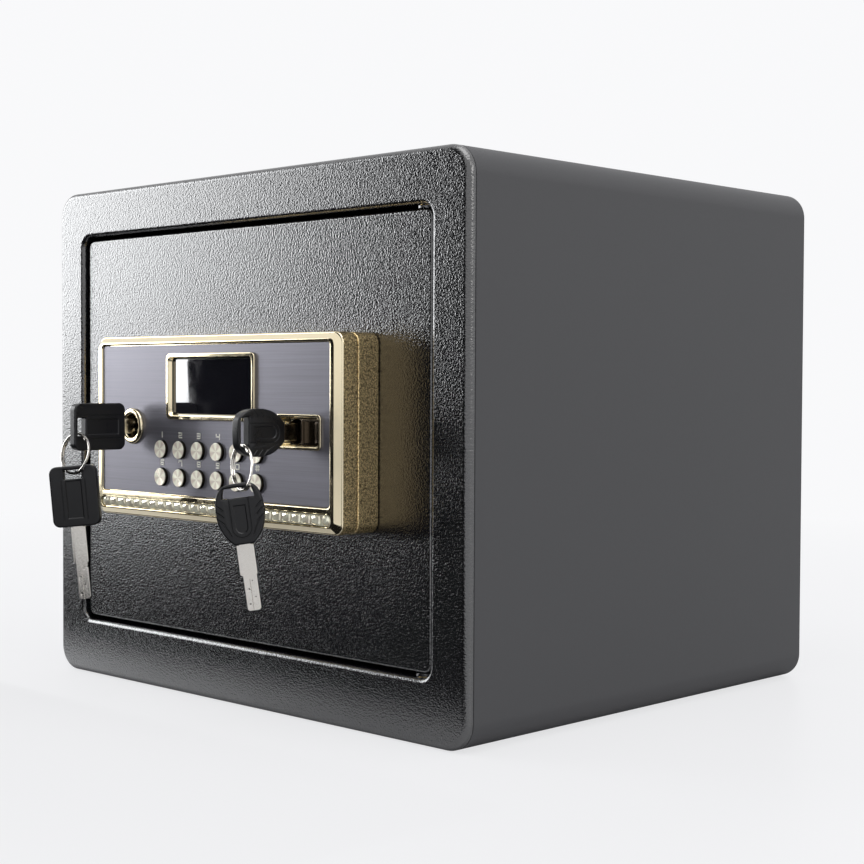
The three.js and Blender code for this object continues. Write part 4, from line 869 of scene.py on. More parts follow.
cabinet_row = rim(0, CABINET_HEIGHT / 2, CABINET_HALF, CABINET_HEIGHT / 2, CABINET_CORNER, 14)
opening_row = rim(0, DOOR_MID_Z, OPENING_HALF, OPENING_HALF_Z, 7, 14, way=-1)
door_row = rim(0, DOOR_MID_Z, DOOR_HALF, DOOR_HALF_Z, 4.9, 10)
panel_row = rim(PANEL_X, PANEL_Z, PANEL_HALF, PANEL_HALF_Z, 6, 9, 0.6)
face_row = rim(PANEL_X, FACE_Z, FACE_HALF, FACE_HALF_Z, 2, 9, way=-1)
display_row = rim(DISPLAY_X, DISPLAY_Z, DISPLAY_HALF, DISPLAY_HALF_Z, 3.2, 8, 0.4)


def bolt_holes(radius, x0, x1):
    """Holes for the two locking bolts."""
    return [bar(radius, (x0, BOLT_Y, z), (x1, BOLT_Y, z), 40) for z in BOLT_HEIGHTS]


def hinge_holes(radius, half_z, reach, sides):
    """Upright holes for the hinge pins, at both ends of the door or its opening."""
    ends = [DOOR_MID_Z + side * half_z for side in (1, -1)]
    return [bar(radius, (HINGE_X, HINGE_Y, z - reach), (HINGE_X, HINGE_Y, z + reach), sides) for z in ends]


def lock_and_cable_holes(y0, y1):
    """Holes for both locks and the panel's cable, between two depths."""
    holes = [bore(LOCK_BORE, x, LOCK_Z, y0, y1, 40) for x in (MAIN_X, EMERGENCY_X)]
    return holes + [bore(CABLE_BORE, PANEL_X, CABLE_Z, y0, y1, 32)]


# Cabinet
def front_frame_mesh(sizes):
    """Pressed frame: rolled outer edge, rolled opening, jamb, skirt and hinge brackets."""
    edge, roll, seam = sizes.edge_roll / MM, sizes.opening_roll / MM, sizes.seam_roll / MM
    sheet, seam_y, skirt_y, jamb_y, fit = 2.5, 5, 16, 32, WRAP_WALL + GAP
    outer = [(fit, seam_y), (seam, seam_y)]
    outer += [(inset, seam_y - depth) for inset, depth in roll_in(seam, 3)[1:]] + roll_out(edge, 8)
    opening = roll_in(roll, 7) + [(0, jamb_y), (sheet, jamb_y), (sheet, 4), (4, sheet)]
    skirt = [(4.8, sheet), (4.8, skirt_y), (fit, skirt_y)]
    rows = stack(cabinet_row, outer, FRONT_Y) + stack(opening_row, opening, FRONT_Y)
    mesh = build("frame_sheet", loft(rows + stack(cabinet_row, skirt, FRONT_Y), closed=True))
    y0 = FRONT_Y + 2.3
    y1 = y0 + 2 * (HINGE_Y - y0)
    brackets = []
    for side in (1, -1):
        near = DOOR_MID_Z + side * (OPENING_HALF_Z + 2.3)
        brackets.append(block(HINGE_X - 11, HINGE_X + 9, y0, y1, *sorted((near, near + side * 9))))
    mesh = weld(mesh, brackets)
    holes = bolt_holes(8, -OPENING_HALF - 5, 2 - OPENING_HALF)
    return cut(mesh, holes + hinge_holes(4.3, OPENING_HALF_Z, 12.5, 32))


def cabinet_wrap_mesh(sizes):
    """Folded sheet round the four sides, with rounded sheet edges, anchor holes and shelf rails."""
    seam = sizes.seam_roll / MM
    front, back = WRAP_LOW.y, BACK_Y
    rows = stack(cabinet_row, roll_in(seam, 3), front) + stack(cabinet_row, roll_out(seam, 3), back, -1)
    rows += stack(cabinet_row, [
        (WRAP_WALL - 0.3, back), (WRAP_WALL, back - 0.3), (WRAP_WALL, front + 0.3), (WRAP_WALL - 0.3, front),
    ])
    mesh = build("wrap_sheet", loft(rows, closed=True))
    wall = CABINET_HALF - WRAP_WALL + 0.2
    shelf_low, shelf_high = node_box("shelf")
    top = shelf_high.z - 1.8
    y0, y1 = shelf_low.y + 4.5, shelf_high.y - 2
    rails = []
    for side in (-1, 1):
        flat = sorted((side * wall, side * (wall - 12)))
        leg = sorted((side * wall, side * (wall - 1.5)))
        rails.append(block(*flat, y0, y1, top - 1.5, top))
        rails.append(block(*leg, y0, y1, top - 12, top - 1))
    mesh = weld(mesh, rails)
    return cut(mesh, [bar(ANCHOR_RADIUS, (x, 0, -2), (x, 0, 4), 32) for x in (-ANCHOR_X, ANCHOR_X)])


def back_plate_mesh():
    """Pan that closes the back, with two anchor holes and pressed dimples round them."""
    fit = WRAP_WALL + GAP
    mesh = build("back_panel", loft(stack(cabinet_row, [
        (fit + 0.8, -6), (fit, -5.2), (fit, -0.4), (fit + 0.4, 0),
        (fit + 1.6, 0), (fit + 2, -0.4), (fit + 2, -3.2), (fit + 2.8, -4),
    ], BACK_Y)))
    holes = []
    for x in (-ANCHOR_X, ANCHOR_X):
        holes.append(bore(ANCHOR_RADIUS, x, ANCHOR_Z, BACK_Y - 20, BACK_Y, 32))
        dimple = [(0, BACK_Y - 4.5), (7.5, BACK_Y - 4.5), (8.5, BACK_Y - 3), (0, BACK_Y - 3)]
        holes.append(lathe(dimple, x, ANCHOR_Z, 40))
    return cut(mesh, holes)


# Door
def post_places():
    """Where the posts for the back cover's four screws stand."""
    x, z = DOOR_HALF - 8.3, DOOR_HALF_Z - 8.3
    return {
        "upper_left": (-x, DOOR_MID_Z + z), "upper_right": (x, DOOR_MID_Z + z - 32),
        "lower_left": (-x, DOOR_MID_Z - z), "lower_right": (x, DOOR_MID_Z - z + 32),
    }


def door_pan_mesh(sizes):
    """Pressed door skin with its flange, posts for the back cover and blocks for the pins."""
    face, back, inner = DOOR_FACE_Y, DOOR_BACK_Y, DOOR_INNER_Y
    rows = stack(door_row, roll_in(sizes.door_roll / MM, 6), face)
    rows += stack(door_row, [
        (0, back - 0.4), (0.4, back), (2.1, back), (DOOR_SHEET, back - 0.4), (DOOR_SHEET, inner + 1),
        (DOOR_SHEET + 1, inner),
    ])
    mesh = build("door_skin", loft(rows))
    extras = [bore(4, x, z, inner - 1, COVER_Y - GAP) for x, z in post_places().values()]
    edge = DOOR_HALF - DOOR_SHEET + 0.2
    for side in (1, -1):
        near = DOOR_MID_Z + side * (DOOR_HALF_Z - 2.3)
        extras.append(block(edge - 16, edge, inner - 0.2, HINGE_Y + 6, *sorted((near, near - side * 22))))
    mesh = weld(mesh, extras)
    holes = bolt_holes(7.5, -DOOR_HALF - 3, 3.5 - DOOR_HALF) + lock_and_cable_holes(face - 1, inner + 1)
    return cut(mesh, holes + hinge_holes(2.8, DOOR_HALF_Z, 25.5, 24))


def cover_screw_mesh(x, z):
    """Pan-head screw with a cross recess."""
    head = COVER_Y + 1.5 + GAP
    end = COVER_Y - GAP + 0.2
    profile = [(0, end), (1.7, end), (1.7, head), (3.6, head)]
    profile += [(3.6 * math.cos(t) ** 0.6, head + 1.9 * math.sin(t)) for t in quarter(6)[1:-1]]
    mesh = build("screw", lathe(profile + [(0, head + 1.95)], x, z, 32))
    recess = []
    for turn in (0, math.pi / 2):
        ca, sa = math.cos(turn + 0.4), math.sin(turn + 0.4)
        rows = []
        for y, long, wide in ((head + 0.7, 0.7, 0.3), (head + 2.6, 1.9, 0.42)):
            rows.append([
                (x + ca * u - sa * v, y, z + sa * u + ca * v)
                for u, v in ((long, wide), (-long, wide), (-long, -wide), (long, -wide))
            ])
        recess.append(loft(rows))
    return cut(mesh, recess)


# Control panel
def panel_base_mesh():
    """Rear tier of the housing: a tub with a stepped rim and posts for the board."""
    floor_y = PANEL_BACK_Y - 2
    rows = stack(panel_row, [(0.4, PANEL_BACK_Y), (0, PANEL_BACK_Y - 0.4), (0, TIER_Y + 0.8)])
    rows += stack(panel_row, roll_out(0.8, 4)[1:], TIER_Y) + stack(panel_row, [(3, TIER_Y), (3, floor_y)])
    mesh = build("panel_tub", loft(rows))
    board_low, board_high = node_box("control_board")
    mesh = weld(mesh, [
        bore(3, x, z, board_high.y + GAP, floor_y + 1, 20)
        for x in (board_low.x + 5, board_high.x - 5) for z in (board_low.z + 4, board_high.z - 6)
    ])
    return cut(mesh, lock_and_cable_holes(floor_y - 2, PANEL_BACK_Y + 2))


def panel_bezel_mesh():
    """Front tier: textured side, rounded edge, polished slope, flat border and stone channel."""
    ledge, back, slope = FACE_BACK_Y + GAP, TIER_Y - GAP, 3.3
    rows = stack(panel_row, roll_in(0.8, 4), back, -1)
    rows += [panel_row(0.9 * (1 - math.cos(t)), PANEL_EDGE_Y + 0.4 - 0.9 * math.sin(t)) for t in quarter(5)]
    rows += stack(panel_row, [(slope, 0.35), (slope + 0.25, 0.1), (slope + 0.6, 0)], RIDGE_Y)
    rows += stack(face_row, roll_in(0.9, 5), RIDGE_Y)
    rows += stack(face_row, [(0, ledge), (-2.5, ledge), (-2.5, ledge + 2), (0.5, ledge + 2)])
    rows += stack(panel_row, [(3, back - 3), (3, back)])
    mesh = build("panel_frame", loft(rows, closed=True))
    channel = oval(STRIP_LENGTH / 2 + GAP, 3.15, 3.15, PANEL_X, STRIP_Z, 10)
    levels = [(0.0, RIDGE_Y - 1), (0.0, RIDGE_Y + 0.05), (0.25, RIDGE_Y + 0.4), (0.25, RIDGE_Y + 1.6)]
    return cut(mesh, [plate(shrink(channel, -0.35), [], levels)])


def faceplate_mesh():
    """Brushed sheet with its openings for the display, buttons, lock ring and tray."""
    outline = oval(FACE_HALF - GAP, FACE_HALF_Z - GAP, 2, PANEL_X, FACE_Z, 6)
    holes = [
        oval(DISPLAY_HALF - 2.2, DISPLAY_HALF_Z - 2.2, 2.2, DISPLAY_X, DISPLAY_Z, 6),
        oval(TRAY_HALF - 1, TRAY_HALF_Z - 1, 2.2, TRAY_X, LOCK_Z, 6),
        circle(8.05, EMERGENCY_X, LOCK_Z, 48),
    ]
    holes += [circle(BUTTON_RADIUS + GAP, x, z, 40) for z in BUTTON_ROWS for x in BUTTON_COLUMNS]
    return build("face_sheet", plate(outline, holes, rounded_levels(FACE_Y, FACE_BACK_Y, 0.12, 2)))


# The marks over the buttons, in the buttons' order: five rows of five cells each.
DIGITS = {
    "1": "..#.. ..#.. ..#.. ..#.. ..#..",
    "2": "##### ....# ##### #.... #####",
    "3": "##### ....# ##### ....# #####",
    "4": "#...# #...# ##### ....# ....#",
    "5": "##### #.... ##### ....# #####",
    "star": "#.#.# .###. ##### .###. #.#.#",
    "6": "##### #.... ##### #...# #####",
    "7": "##### #...# ....# ....# ....#",
    "8": "##### #...# ##### #...# #####",
    "9": "##### #...# ##### ....# #####",
    "0": "##### #...# #...# #...# #####",
    "hash": ".#.#. ##### .#.#. ##### .#.#.",
}


def runs(line):
    """First and last place of each unbroken run of two or more marks."""
    return [(run.start(), run.end() - 1) for run in re.finditer("##+", line)]


def digits_mesh(sizes):
    """Square-cut digits, raised by a foil's thickness over each button."""
    high, stroke = sizes.digit_height / MM, sizes.digit_stroke / MM
    wide, half, over = high * 1.08, stroke / 2, 8.2
    strokes = []
    for name, x, z in button_places():
        lines = DIGITS[name].split()
        spans = [(*run, row, row) for row, line in enumerate(lines) for run in runs(line)]
        for column in range(5):
            marks = "".join(line[column] for line in lines)
            spans += [(column, column, bottom, top) for top, bottom in runs(marks)]
        for left, right, bottom, top in spans:
            x0, x1 = (x + (place - 2) * (wide - stroke) / 4 for place in (left, right))
            z0, z1 = (z + over + high / 2 - stroke / 2 - row * (high - stroke) / 4 for row in (bottom, top))
            strokes.append(block(x0 - half, x1 + half, FACE_Y - 0.06, FACE_Y + 0.05, z0 - half, z1 + half))
    return build("digits", together(*strokes))


def button_places():
    """Name, x and z of each button, row by row."""
    spots = [(x, z) for z in BUTTON_ROWS for x in BUTTON_COLUMNS]
    return [(name, x, z) for name, (x, z) in zip(DIGITS, spots)]


def button_mesh(sizes):
    """Turned button: ringed face with a small centre mark, rounded rim, flange and stem."""
    pitch = sizes.turning / MM
    front = FACE_Y - BUTTON_PROUD
    shoulder = FACE_BACK_Y + GAP
    profile = [(0, front + 0.25)]
    radius = 0.12
    while radius < BUTTON_RADIUS - 0.75:
        wave = 0.032 * math.sin(2 * math.pi * radius / pitch)
        dish = 0.22 * (1 - (radius / BUTTON_RADIUS) ** 2)
        profile.append((radius, front + 0.04 + dish + wave))
        radius += pitch / 7
    profile += [
        (BUTTON_RADIUS - 0.6, front + 0.04), (BUTTON_RADIUS - 0.45, front),
        (BUTTON_RADIUS - 0.15, front + 0.12),
        (BUTTON_RADIUS, front + 0.42), (BUTTON_RADIUS, shoulder), (BUTTON_RADIUS + 1.2, shoulder),
        (BUTTON_RADIUS + 1.2, shoulder + 1), (2, shoulder + 1), (2, FACE_BACK_Y + 4), (0, FACE_BACK_Y + 4),
    ]
    return build("button", lathe([(r, y - front) for r, y in profile], 0, 0, 48))


def stone_shape(x, half_u, cushion):
    """One stone, round or a cushion: a table, a ring of kites, a girdle and a foot."""
    girdle_y, table_y = RIDGE_Y + 0.75, RIDGE_Y - 0.28
    table_share, wide_share = (0.42, 0.86) if cushion else (0.5, 0.97)
    points = []

    def row(share, y, count, turn=0.0):
        start = len(points)
        for i in range(count):
            angle = 2 * math.pi * (i + turn) / count
            c, s = math.cos(angle), math.sin(angle)
            reach = 1 + (1 / max(abs(c), abs(s)) - 1) * 0.62 if cushion else 1.0
            points.append((x + half_u * share * c * reach, y, STRIP_Z + STONE_HALF * share * s * reach))
        return start

    table = row(table_share, table_y, 8, 0.5)
    middle = row(0.74, (girdle_y + table_y) / 2 - 0.08, 8)
    girdle = row(wide_share, girdle_y, 16)
    foot = row(wide_share, STONE_BED_Y, 16)
    faces = [tuple(range(table, table + 8))]
    for i in range(8):
        j = (i + 1) % 8
        edge = girdle + 2 * i + 1
        faces += [
            (table + i, middle + j, table + j), (middle + i, edge - 1, edge),
            (middle + j, edge, girdle + 2 * j), (middle + i, edge, middle + j),
            (table + i, middle + i, middle + j),
        ]
    return points, faces + band(girdle, foot, 16) + [tuple(range(foot, foot + 16))]


def stones_mesh(sizes):
    """Row of cut stones on a gold strip; the first and the last one are round."""
    count = sizes.stones
    pitch = STRIP_LENGTH / count
    bed = RIDGE_Y + 1.6 - GAP
    outline = oval(STRIP_LENGTH / 2, STONE_HALF, STONE_HALF, PANEL_X, STRIP_Z, 8)
    shapes = [plate(outline, [], [(0.0, bed - 0.35), (0.0, bed)])]
    for i in range(count):
        x = PANEL_X + (i - (count - 1) / 2) * pitch
        last = i in (0, count - 1)
        shapes.append(stone_shape(x, STONE_HALF if last else pitch / 2 - 0.06, not last))
    return build("stones", together(*shapes))


# Display


def display_bezel_mesh():
    """Window frame: rounded outer edge, flat face, inner bevel and a step down to the glass."""
    front, deep, back = DISPLAY_FRONT_Y, DISPLAY_BACK_Y, FACE_Y - GAP
    rows = stack(display_row, [(0, back)]) + stack(display_row, roll_out(0.5, 4), front)
    rows += stack(display_row, [(2.0, 0), (2.15, 0.05), (2.25, 0.2), (2.95, 2.1), (3.0, 2.2)], front)
    rows += stack(display_row, [(3.0, deep), (2.5, deep), (2.5, back)])
    return build("display_trim", loft(rows, closed=True))


def display_window_mesh():
    x, z = (WINDOW_LOW.x + WINDOW_HIGH.x) / 2, (WINDOW_LOW.z + WINDOW_HIGH.z) / 2
    outline = oval(WINDOW_HIGH.x - x, WINDOW_HIGH.z - z, 1.5, x, z, 6)
    return build("display_glass", plate(outline, [], rounded_levels(WINDOW_LOW.y, WINDOW_HIGH.y, 0.2, 2)))


# Locks
def lock_ring_mesh():
    """Polished ring round the emergency lock, with a rolled rim and a sleeve."""
    back = FACE_Y - GAP
    outer, bore, sleeve = 10.25, 6.85, 7.75
    profile = [(outer, back), (outer, back - 0.5)]
    profile += [(outer - 1.2 * (1 - math.cos(t)), back - 0.5 - 1.2 * math.sin(t)) for t in quarter(5)[1:]]
    profile += [(bore + 1.2 * (1 - math.sin(t)), back - 1.7 + 0.9 * (1 - math.cos(t))) for t in quarter(4)]
    profile += [(bore, FACE_BACK_Y + 1), (sleeve, FACE_BACK_Y + 1), (sleeve, back)]
    return build("lock_ring", lathe(profile, EMERGENCY_X, LOCK_Z, 64, closed=True))


def emergency_escutcheon_shape():
    """Two spokes and a crescent inside the ring, behind the key's shank."""
    y0 = FACE_BACK_Y - 0.5
    shapes = []
    for turn in (0.6, -0.6):
        c, s = math.cos(turn), math.sin(turn)
        rows = []
        for reach, half in ((3.4, 0.7), (6.7, 0.5)):
            cx, cz = EMERGENCY_X + c * reach, LOCK_Z + s * reach
            rows.append([
                (cx - s * half, y0, cz + c * half), (cx + s * half, y0, cz - c * half),
                (cx + s * half, y0 + 1.2, cz - c * half), (cx - s * half, y0 + 1.2, cz + c * half),
            ])
        shapes.append(loft(rows))
    return together(*shapes)


def tray_mesh():
    """Lock tray: rounded lip, sloped walls, floor with the key's mouth and a small pin."""
    floor, lip_back = TRAY_FLOOR_Y, FACE_Y - GAP
    lip_front = lip_back - TRAY_LIP
    places = [(1.3, 2, floor + 1.2), (1.3, 2, lip_back), (0, 2.6, lip_back)]
    places += [(inset, 2.6, lip_front + depth) for inset, depth in roll_out(0.35, 3)]
    places += [(1.1, 1.9, lip_front), (1.35, 1.8, lip_front + 0.15), (2.2, 1.6, lip_front + 1.1),
               (2.2, 1.6, floor - 0.2), (2.4, 1.5, floor)]
    mesh = build("lock_tray", loft([
        ring(TRAY_HALF - inset, TRAY_HALF_Z - inset, radius, TRAY_X, LOCK_Z, y, 7)
        for inset, radius, y in places
    ]))
    mouth = [(0, floor - 1), (6.95, floor - 0.35), (6.6, floor), (6.6, floor + 3), (0, floor + 3)]
    mesh = cut(mesh, [lathe(mouth, MAIN_X, LOCK_Z, 56)])
    pin = [(0, floor - 0.9), (0.55, floor - 0.8), (0.85, floor - 0.45), (0.85, floor + 0.5), (0, floor + 0.5)]
    return weld(mesh, [lathe(pin, TRAY_X - TRAY_HALF + 4.3, LOCK_Z + 4.3, 20)])


def slide_cover_mesh():
    """Sliding cover with a concave thumb rest and a rib at its leading edge."""
    end = TRAY_X + TRAY_HALF - 2.5
    start = end - 13.6
    half = TRAY_HALF_Z - 2.5
    back = TRAY_FLOOR_Y - GAP
    front = back - 3.2
    middle = (start + end) / 2
    outline = oval(6.8, half, 1.2, middle, LOCK_Z, 5)
    mesh = build("slide_cover", plate(outline, [], rounded_levels(front, back, 0.3, 3)))
    dish_x, dish_y = middle + 1.4, front - 7.2
    dish = bar(9, (dish_x, dish_y, LOCK_Z - half + 1.2), (dish_x, dish_y, LOCK_Z + half - 1.2), 72)
    mesh = cut(mesh, [dish])
    turn = [math.pi * i / 8 for i in range(9)]
    rib = [(start + 1.3 + 0.9 * math.cos(t), front + 0.25 - 0.95 * math.sin(t)) for t in turn]
    rib += [(start + 0.4, front + 1), (start + 2.2, front + 1)]
    rows = [[(x, y, z) for x, y in rib] for z in (LOCK_Z - half + 1, LOCK_Z + half - 1)]
    mesh = weld(mesh, [loft(rows)])
    return cut(mesh, [
        bore(0.22, start + 1.3, LOCK_Z + step, front - 0.72, front + 0.1, 10) for step in (-3, 0, 3)
    ])


# Keys and rings. A key's own axes: the neck at the origin, the blade along +u, the head along -u.
KEY_AXES = Matrix(((0, 1, 0, 0), (1, 0, 0, 0), (0, 0, 1, 0), (0, 0, 0, 1)))


class KeySet:
    """A key in its lock, the ring through its head, and the second key on that ring."""

    # A ring's pose is its turn, lean and slip; a hanging key's is its play, lean and slip;
    # a blade is its length, its width and the place of its step.
    def __init__(self, kind, x, neck_y, length, slot_half, ring_pose, hang_pose, blade):
        self.kind, self.x, self.neck_y, self.length = kind, x, neck_y, length
        self.slot_half, self.ring_pose, self.hang_pose, self.blade = slot_half, ring_pose, hang_pose, blade

    def inserted(self):
        """Where the first key sits in its lock."""
        return Matrix.Translation(Vector((self.x, self.neck_y, LOCK_Z)) * MM) @ KEY_AXES

    def hook(self):
        """Top of the ring, where it rests in the slot of the first key."""
        turn, lean, slip = self.ring_pose
        y = self.neck_y - self.length + SLOT_WALL + SLOT_REACH / 2 - slip
        z = LOCK_Z - self.slot_half + RING_BAND + RING_PLAY
        spot = Matrix.Translation(Vector((self.x, y, z)) * MM)
        return spot @ Matrix.Rotation(-lean, 4, "X") @ Matrix.Rotation(-turn, 4, "Z")

    def ring(self):
        return self.hook() @ Matrix.Translation((0, 0, -RING_RADIUS * MM))

    def hanging(self):
        """Where the second key hangs from the lowest point of the ring."""
        play, lean, slip = self.hang_pose
        low = self.hook() @ Vector((0, 0, -2 * RING_RADIUS * MM)) + Vector((0, 0, (RING_BAND + play) * MM))
        return (
            Matrix.Translation(low) @ Matrix.Rotation(HANG_TURN, 4, "Z") @ Matrix.Rotation(-lean, 4, "Y")
            @ Matrix.Translation(Vector((-slip, 0, SLOT_WALL - self.length)) * MM)
            @ Matrix.Rotation(-math.pi / 2, 4, "X") @ Matrix.Rotation(math.pi / 2, 4, "Y") @ KEY_AXES
        )


def curve(start, one, two, end, steps):
    """Points of a Bezier curve, without its last point."""
    found = []
    for i in range(steps):
        t = i / steps
        weights = ((1 - t) ** 3, 3 * t * (1 - t) ** 2, 3 * t * t * (1 - t), t ** 3)
        found.append(tuple(
            sum(weight * point[axis] for weight, point in zip(weights, (start, one, two, end)))
            for axis in (0, 1)
        ))
    return found


def groove_path(points, height, radius):
    """Round groove along a path on one face of a key head."""
    section = circle(radius, sides=8)
    return sweep([(u, height, v) for u, v in points], section, up=(0, 1, 0))


def slot_outline(length, near_half, far_half, grow=0.0):
    """Slot for the ring, with eased corners."""
    far = SLOT_WALL - length - grow
    near = SLOT_WALL - length + SLOT_REACH + grow
    near_half, far_half = near_half + grow, far_half + grow
    corners = [(far, -far_half), (near, -near_half), (near, near_half), (far, far_half)]
    eased = []
    for i, corner in enumerate(corners):
        here = Vector(corner)
        before = (Vector(corners[i - 1]) - here).normalized()
        after = (Vector(corners[(i + 1) % 4]) - here).normalized()
        for t in (0.0, 0.33, 0.67, 1.0):
            reach = (0.6 + grow) * (1 - t) ** 2, (0.6 + grow) * t ** 2
            eased.append(tuple(here + before * reach[0] + after * reach[1]))
    return eased


def slot_mouth(outline, side):
    """Cutter that rounds the rim of the slot on one face."""
    face = side * BOW_HALF
    dips = [(0.0, -0.5), (0.35, 0.0), (0.75, 0.28), (1.0, 0.75)]
    levels = sorted([(inset, face - side * dip) for inset, dip in dips], key=lambda level: level[1])
    return plate(outline, [], levels)


def sunk(outline, side, depth, slope):
    """Cutter for a shallow recess with sloping walls on one face."""
    face = side * BOW_HALF
    levels = [(0.0, face + side * 0.5), (0.5, face), (0.5 + slope, face - side * depth)]
    return plate(outline, [], sorted(levels, key=lambda level: level[1]))


def main_head_outline():
    """Shield outline of the main key's head."""
    length, half, neck = MAIN_HEAD, 12.3, 4.9
    widest = (-length * 0.54, half)
    shoulder, heel = (-length * 0.985, half * 0.5), (-length * 0.985, -half * 0.5)
    top = curve((0, neck), (-length * 0.12, neck + 4.2), (-length * 0.28, half), widest, 14)
    top += curve(widest, (-length * 0.78, half), (-length * 0.94, half * 0.86), shoulder, 12)
    end = curve(shoulder, (-length * 1.005, half * 0.17), (-length * 1.005, -half * 0.17), heel, 8)
    mirrored = [(u, -v) for u, v in reversed(top)]
    return top + end + [heel] + mirrored[:-1] + [(0, -neck)]


def pill(far, near, half, steps=14):
    """Outline with a straight end away from the neck and a round end towards it."""
    turn = [math.pi * i / steps for i in range(1, steps)]
    points = [(far, -half), (near - half, -half)]
    points += [(near - half + half * math.sin(t), -half * math.cos(t)) for t in turn]
    return points + [(near - half, half), (far, half)]


def head_mesh(name, outline, slot, marks, turn):
    """Key head: rounded plate with its ring slot, a seat for the blade and marks on both faces."""
    body = plate(outline, [slot_outline(*slot)], rounded_levels(-BOW_HALF, BOW_HALF, 0.9, 4), 0.05)
    cuts = [block(-8.3, 1, -1.45, 1.45, -3.3, 3.3)]
    for side in (-1, 1):
        cuts.append(slot_mouth(slot_outline(*slot, 1.0), side))
        cuts += marks(side, side * BOW_HALF)
    return cut(build(name, body, turn), cuts, turn)


def main_head_mesh(turn, groove):
    """Main key's head: shield, ring slot, sunk panel in a long arch, swept side grooves."""
    def marks(side, face):
        cuts = [sunk(pill(-20.6, -4.9, 3.8), side, 0.45, 0.5)]
        cuts.append(groove_path(pill(-23.2, -3.5, 4.9), face, groove))
        for edge in (-1, 1):
            for i in range(3):
                outer = -21.6 + 3.5 * i
                path = curve((outer, edge * (13.2 - 0.15 * i)), (outer + 0.5, edge * 11.6),
                             (outer + 2.0, edge * 9.6), (outer + 4.6, edge * (7.7 - 0.1 * i)), 8)
                cuts.append(groove_path(path, face, groove * 1.5))
            path = curve((-12.6, edge * 9.9), (-10.0, edge * 8.2), (-7.5, edge * 6.4), (-3.2, edge * 5.3), 10)
            cuts.append(groove_path(path, face, groove * 1.2))
        return cuts

    return head_mesh("main_head", main_head_outline(), (MAIN_HEAD, 8.4, 7.2), marks, turn)


def emergency_head_mesh(turn, groove):
    """Emergency key's head: rounded rectangle, ring slot, sunk panel between two fine lines."""
    def marks(side, face):
        lines = [groove_path([(-26.0, v), (-3.6, v)], face, groove * 0.9) for v in (-6.6, 6.6)]
        return [sunk(oval(11.3, 5.1, 1.2, -15.2, 0, 4), side, 0.5, 0.6), *lines]

    length, half = EMERGENCY_HEAD, 13.29
    outline = oval(length / 2, half, 4, -length / 2, 0, 9)
    return head_mesh("emergency_head", outline, (length, EMERGENCY_SLOT, EMERGENCY_SLOT), marks, turn)


def blade_mesh(turn, length, width, step, notch):
    """Key blade: wide shank, step on one edge, rounded tip, dimples and a fine side groove."""
    half, narrow, tip = width / 2, width / 2 - 1.3, 1.6
    outline = [(-8, -3), (GAP, -3), (GAP, -half + 0.4), (GAP + 0.4, -half)]
    outline += [(step, -half), (step + 1, -narrow)]
    outline += [(length - tip + tip * math.sin(t), tip - narrow - tip * math.cos(t)) for t in quarter(5)]
    outline += [(length - tip + tip * math.cos(t), half - 0.5 - tip + tip * math.sin(t)) for t in quarter(5)]
    if notch:
        outline += [(step + 3.6, half - 0.5), (step + 2.9, half - 1.3), (step + 2.2, half - 0.5)]
    outline += [(step + 0.5, half - 0.5), (step, half), (GAP + 0.4, half)]
    outline += [(GAP, half - 0.4), (GAP, 3), (-8, 3)]
    levels = rounded_levels(-KEY_SHEET / 2, KEY_SHEET / 2, 0.22, 2)
    mesh = build("blade", plate(outline, [], levels), turn)
    cuts = []
    for i in range(4):
        u = step + 4 + i * (length - step - 7) / 3
        v = 1.4 if i % 2 == 0 else -1.2
        for side in (-1, 1):
            face = side * KEY_SHEET / 2
            dimple = [(0, face - side * 0.5), (0.9, face), (0.95, face + side * 0.4), (0, face + side * 0.4)]
            cuts.append(lathe(dimple, u, side * v, 14))
    for side in (-1, 1):
        face = side * KEY_SHEET / 2
        cuts.append(groove_path([(step + 2.5, side * 0.1), (length + 1, side * 0.1)], face, 0.18))
    return cut(mesh, cuts, turn)


def split_ring_mesh(place):
    """Split ring: two flattened turns side by side with one crossover."""
    crossover, pitch = 0.8, 1.2
    start, end = crossover, 4 * math.pi - crossover
    steps, wire, band = 150, 0.5, RING_BAND - 0.1
    section = [(band * math.copysign(abs(math.cos(t)) ** 0.6, math.cos(t)),
                wire * math.copysign(abs(math.sin(t)) ** 0.6, math.sin(t)))
               for t in [2 * math.pi * i / 14 for i in range(14)]]
    rows = []
    for i in range(steps + 1):
        angle = start + (end - start) * i / steps
        part = min(1.0, max(0.0, (angle - 2 * math.pi + crossover) / (2 * crossover)))
        shift = (part * part * (3 - 2 * part) - 0.5) * pitch
        rows.append([
            ((RING_RADIUS + out) * math.cos(angle), shift + along, (RING_RADIUS + out) * math.sin(angle))
            for out, along in section
        ])
    return build("split_ring", loft(rows), place)


def locking_bolt_mesh(node):
    """Turned bolt with a chamfered nose, a fine groove behind it and a riveted tenon."""
    low, high = node_box(node)
    z = (low.z + high.z) / 2
    tip, end = low.x, high.x
    shoulder = end - 8
    profile = [(0, tip), (5.4, tip), (5.9, tip + 0.15), (6.85, tip + 1.1), (7, tip + 1.4), (7, tip + 16),
               (6.8, tip + 16.2), (6.8, tip + 16.8), (7, tip + 17), (7, shoulder - 0.3), (6.7, shoulder),
               (4, shoulder), (4, end - 0.5), (3.5, end), (0, end)]
    return build("bolt", lathe(profile, BOLT_Y, z, 48), KEY_AXES)


# Stage
CAMERA_PLACE = (0.71589, -0.73414, 0.18333)
CAMERA_YAW = math.radians(-44.082)
CAMERA_PITCH = math.radians(1.773)
CAMERA_ROLL = math.radians(-0.259)
CAMERA_LENS = 67.97
CAMERA_SENSOR = 36.0
BACKGROUND = (0.945, 0.947, 0.96)


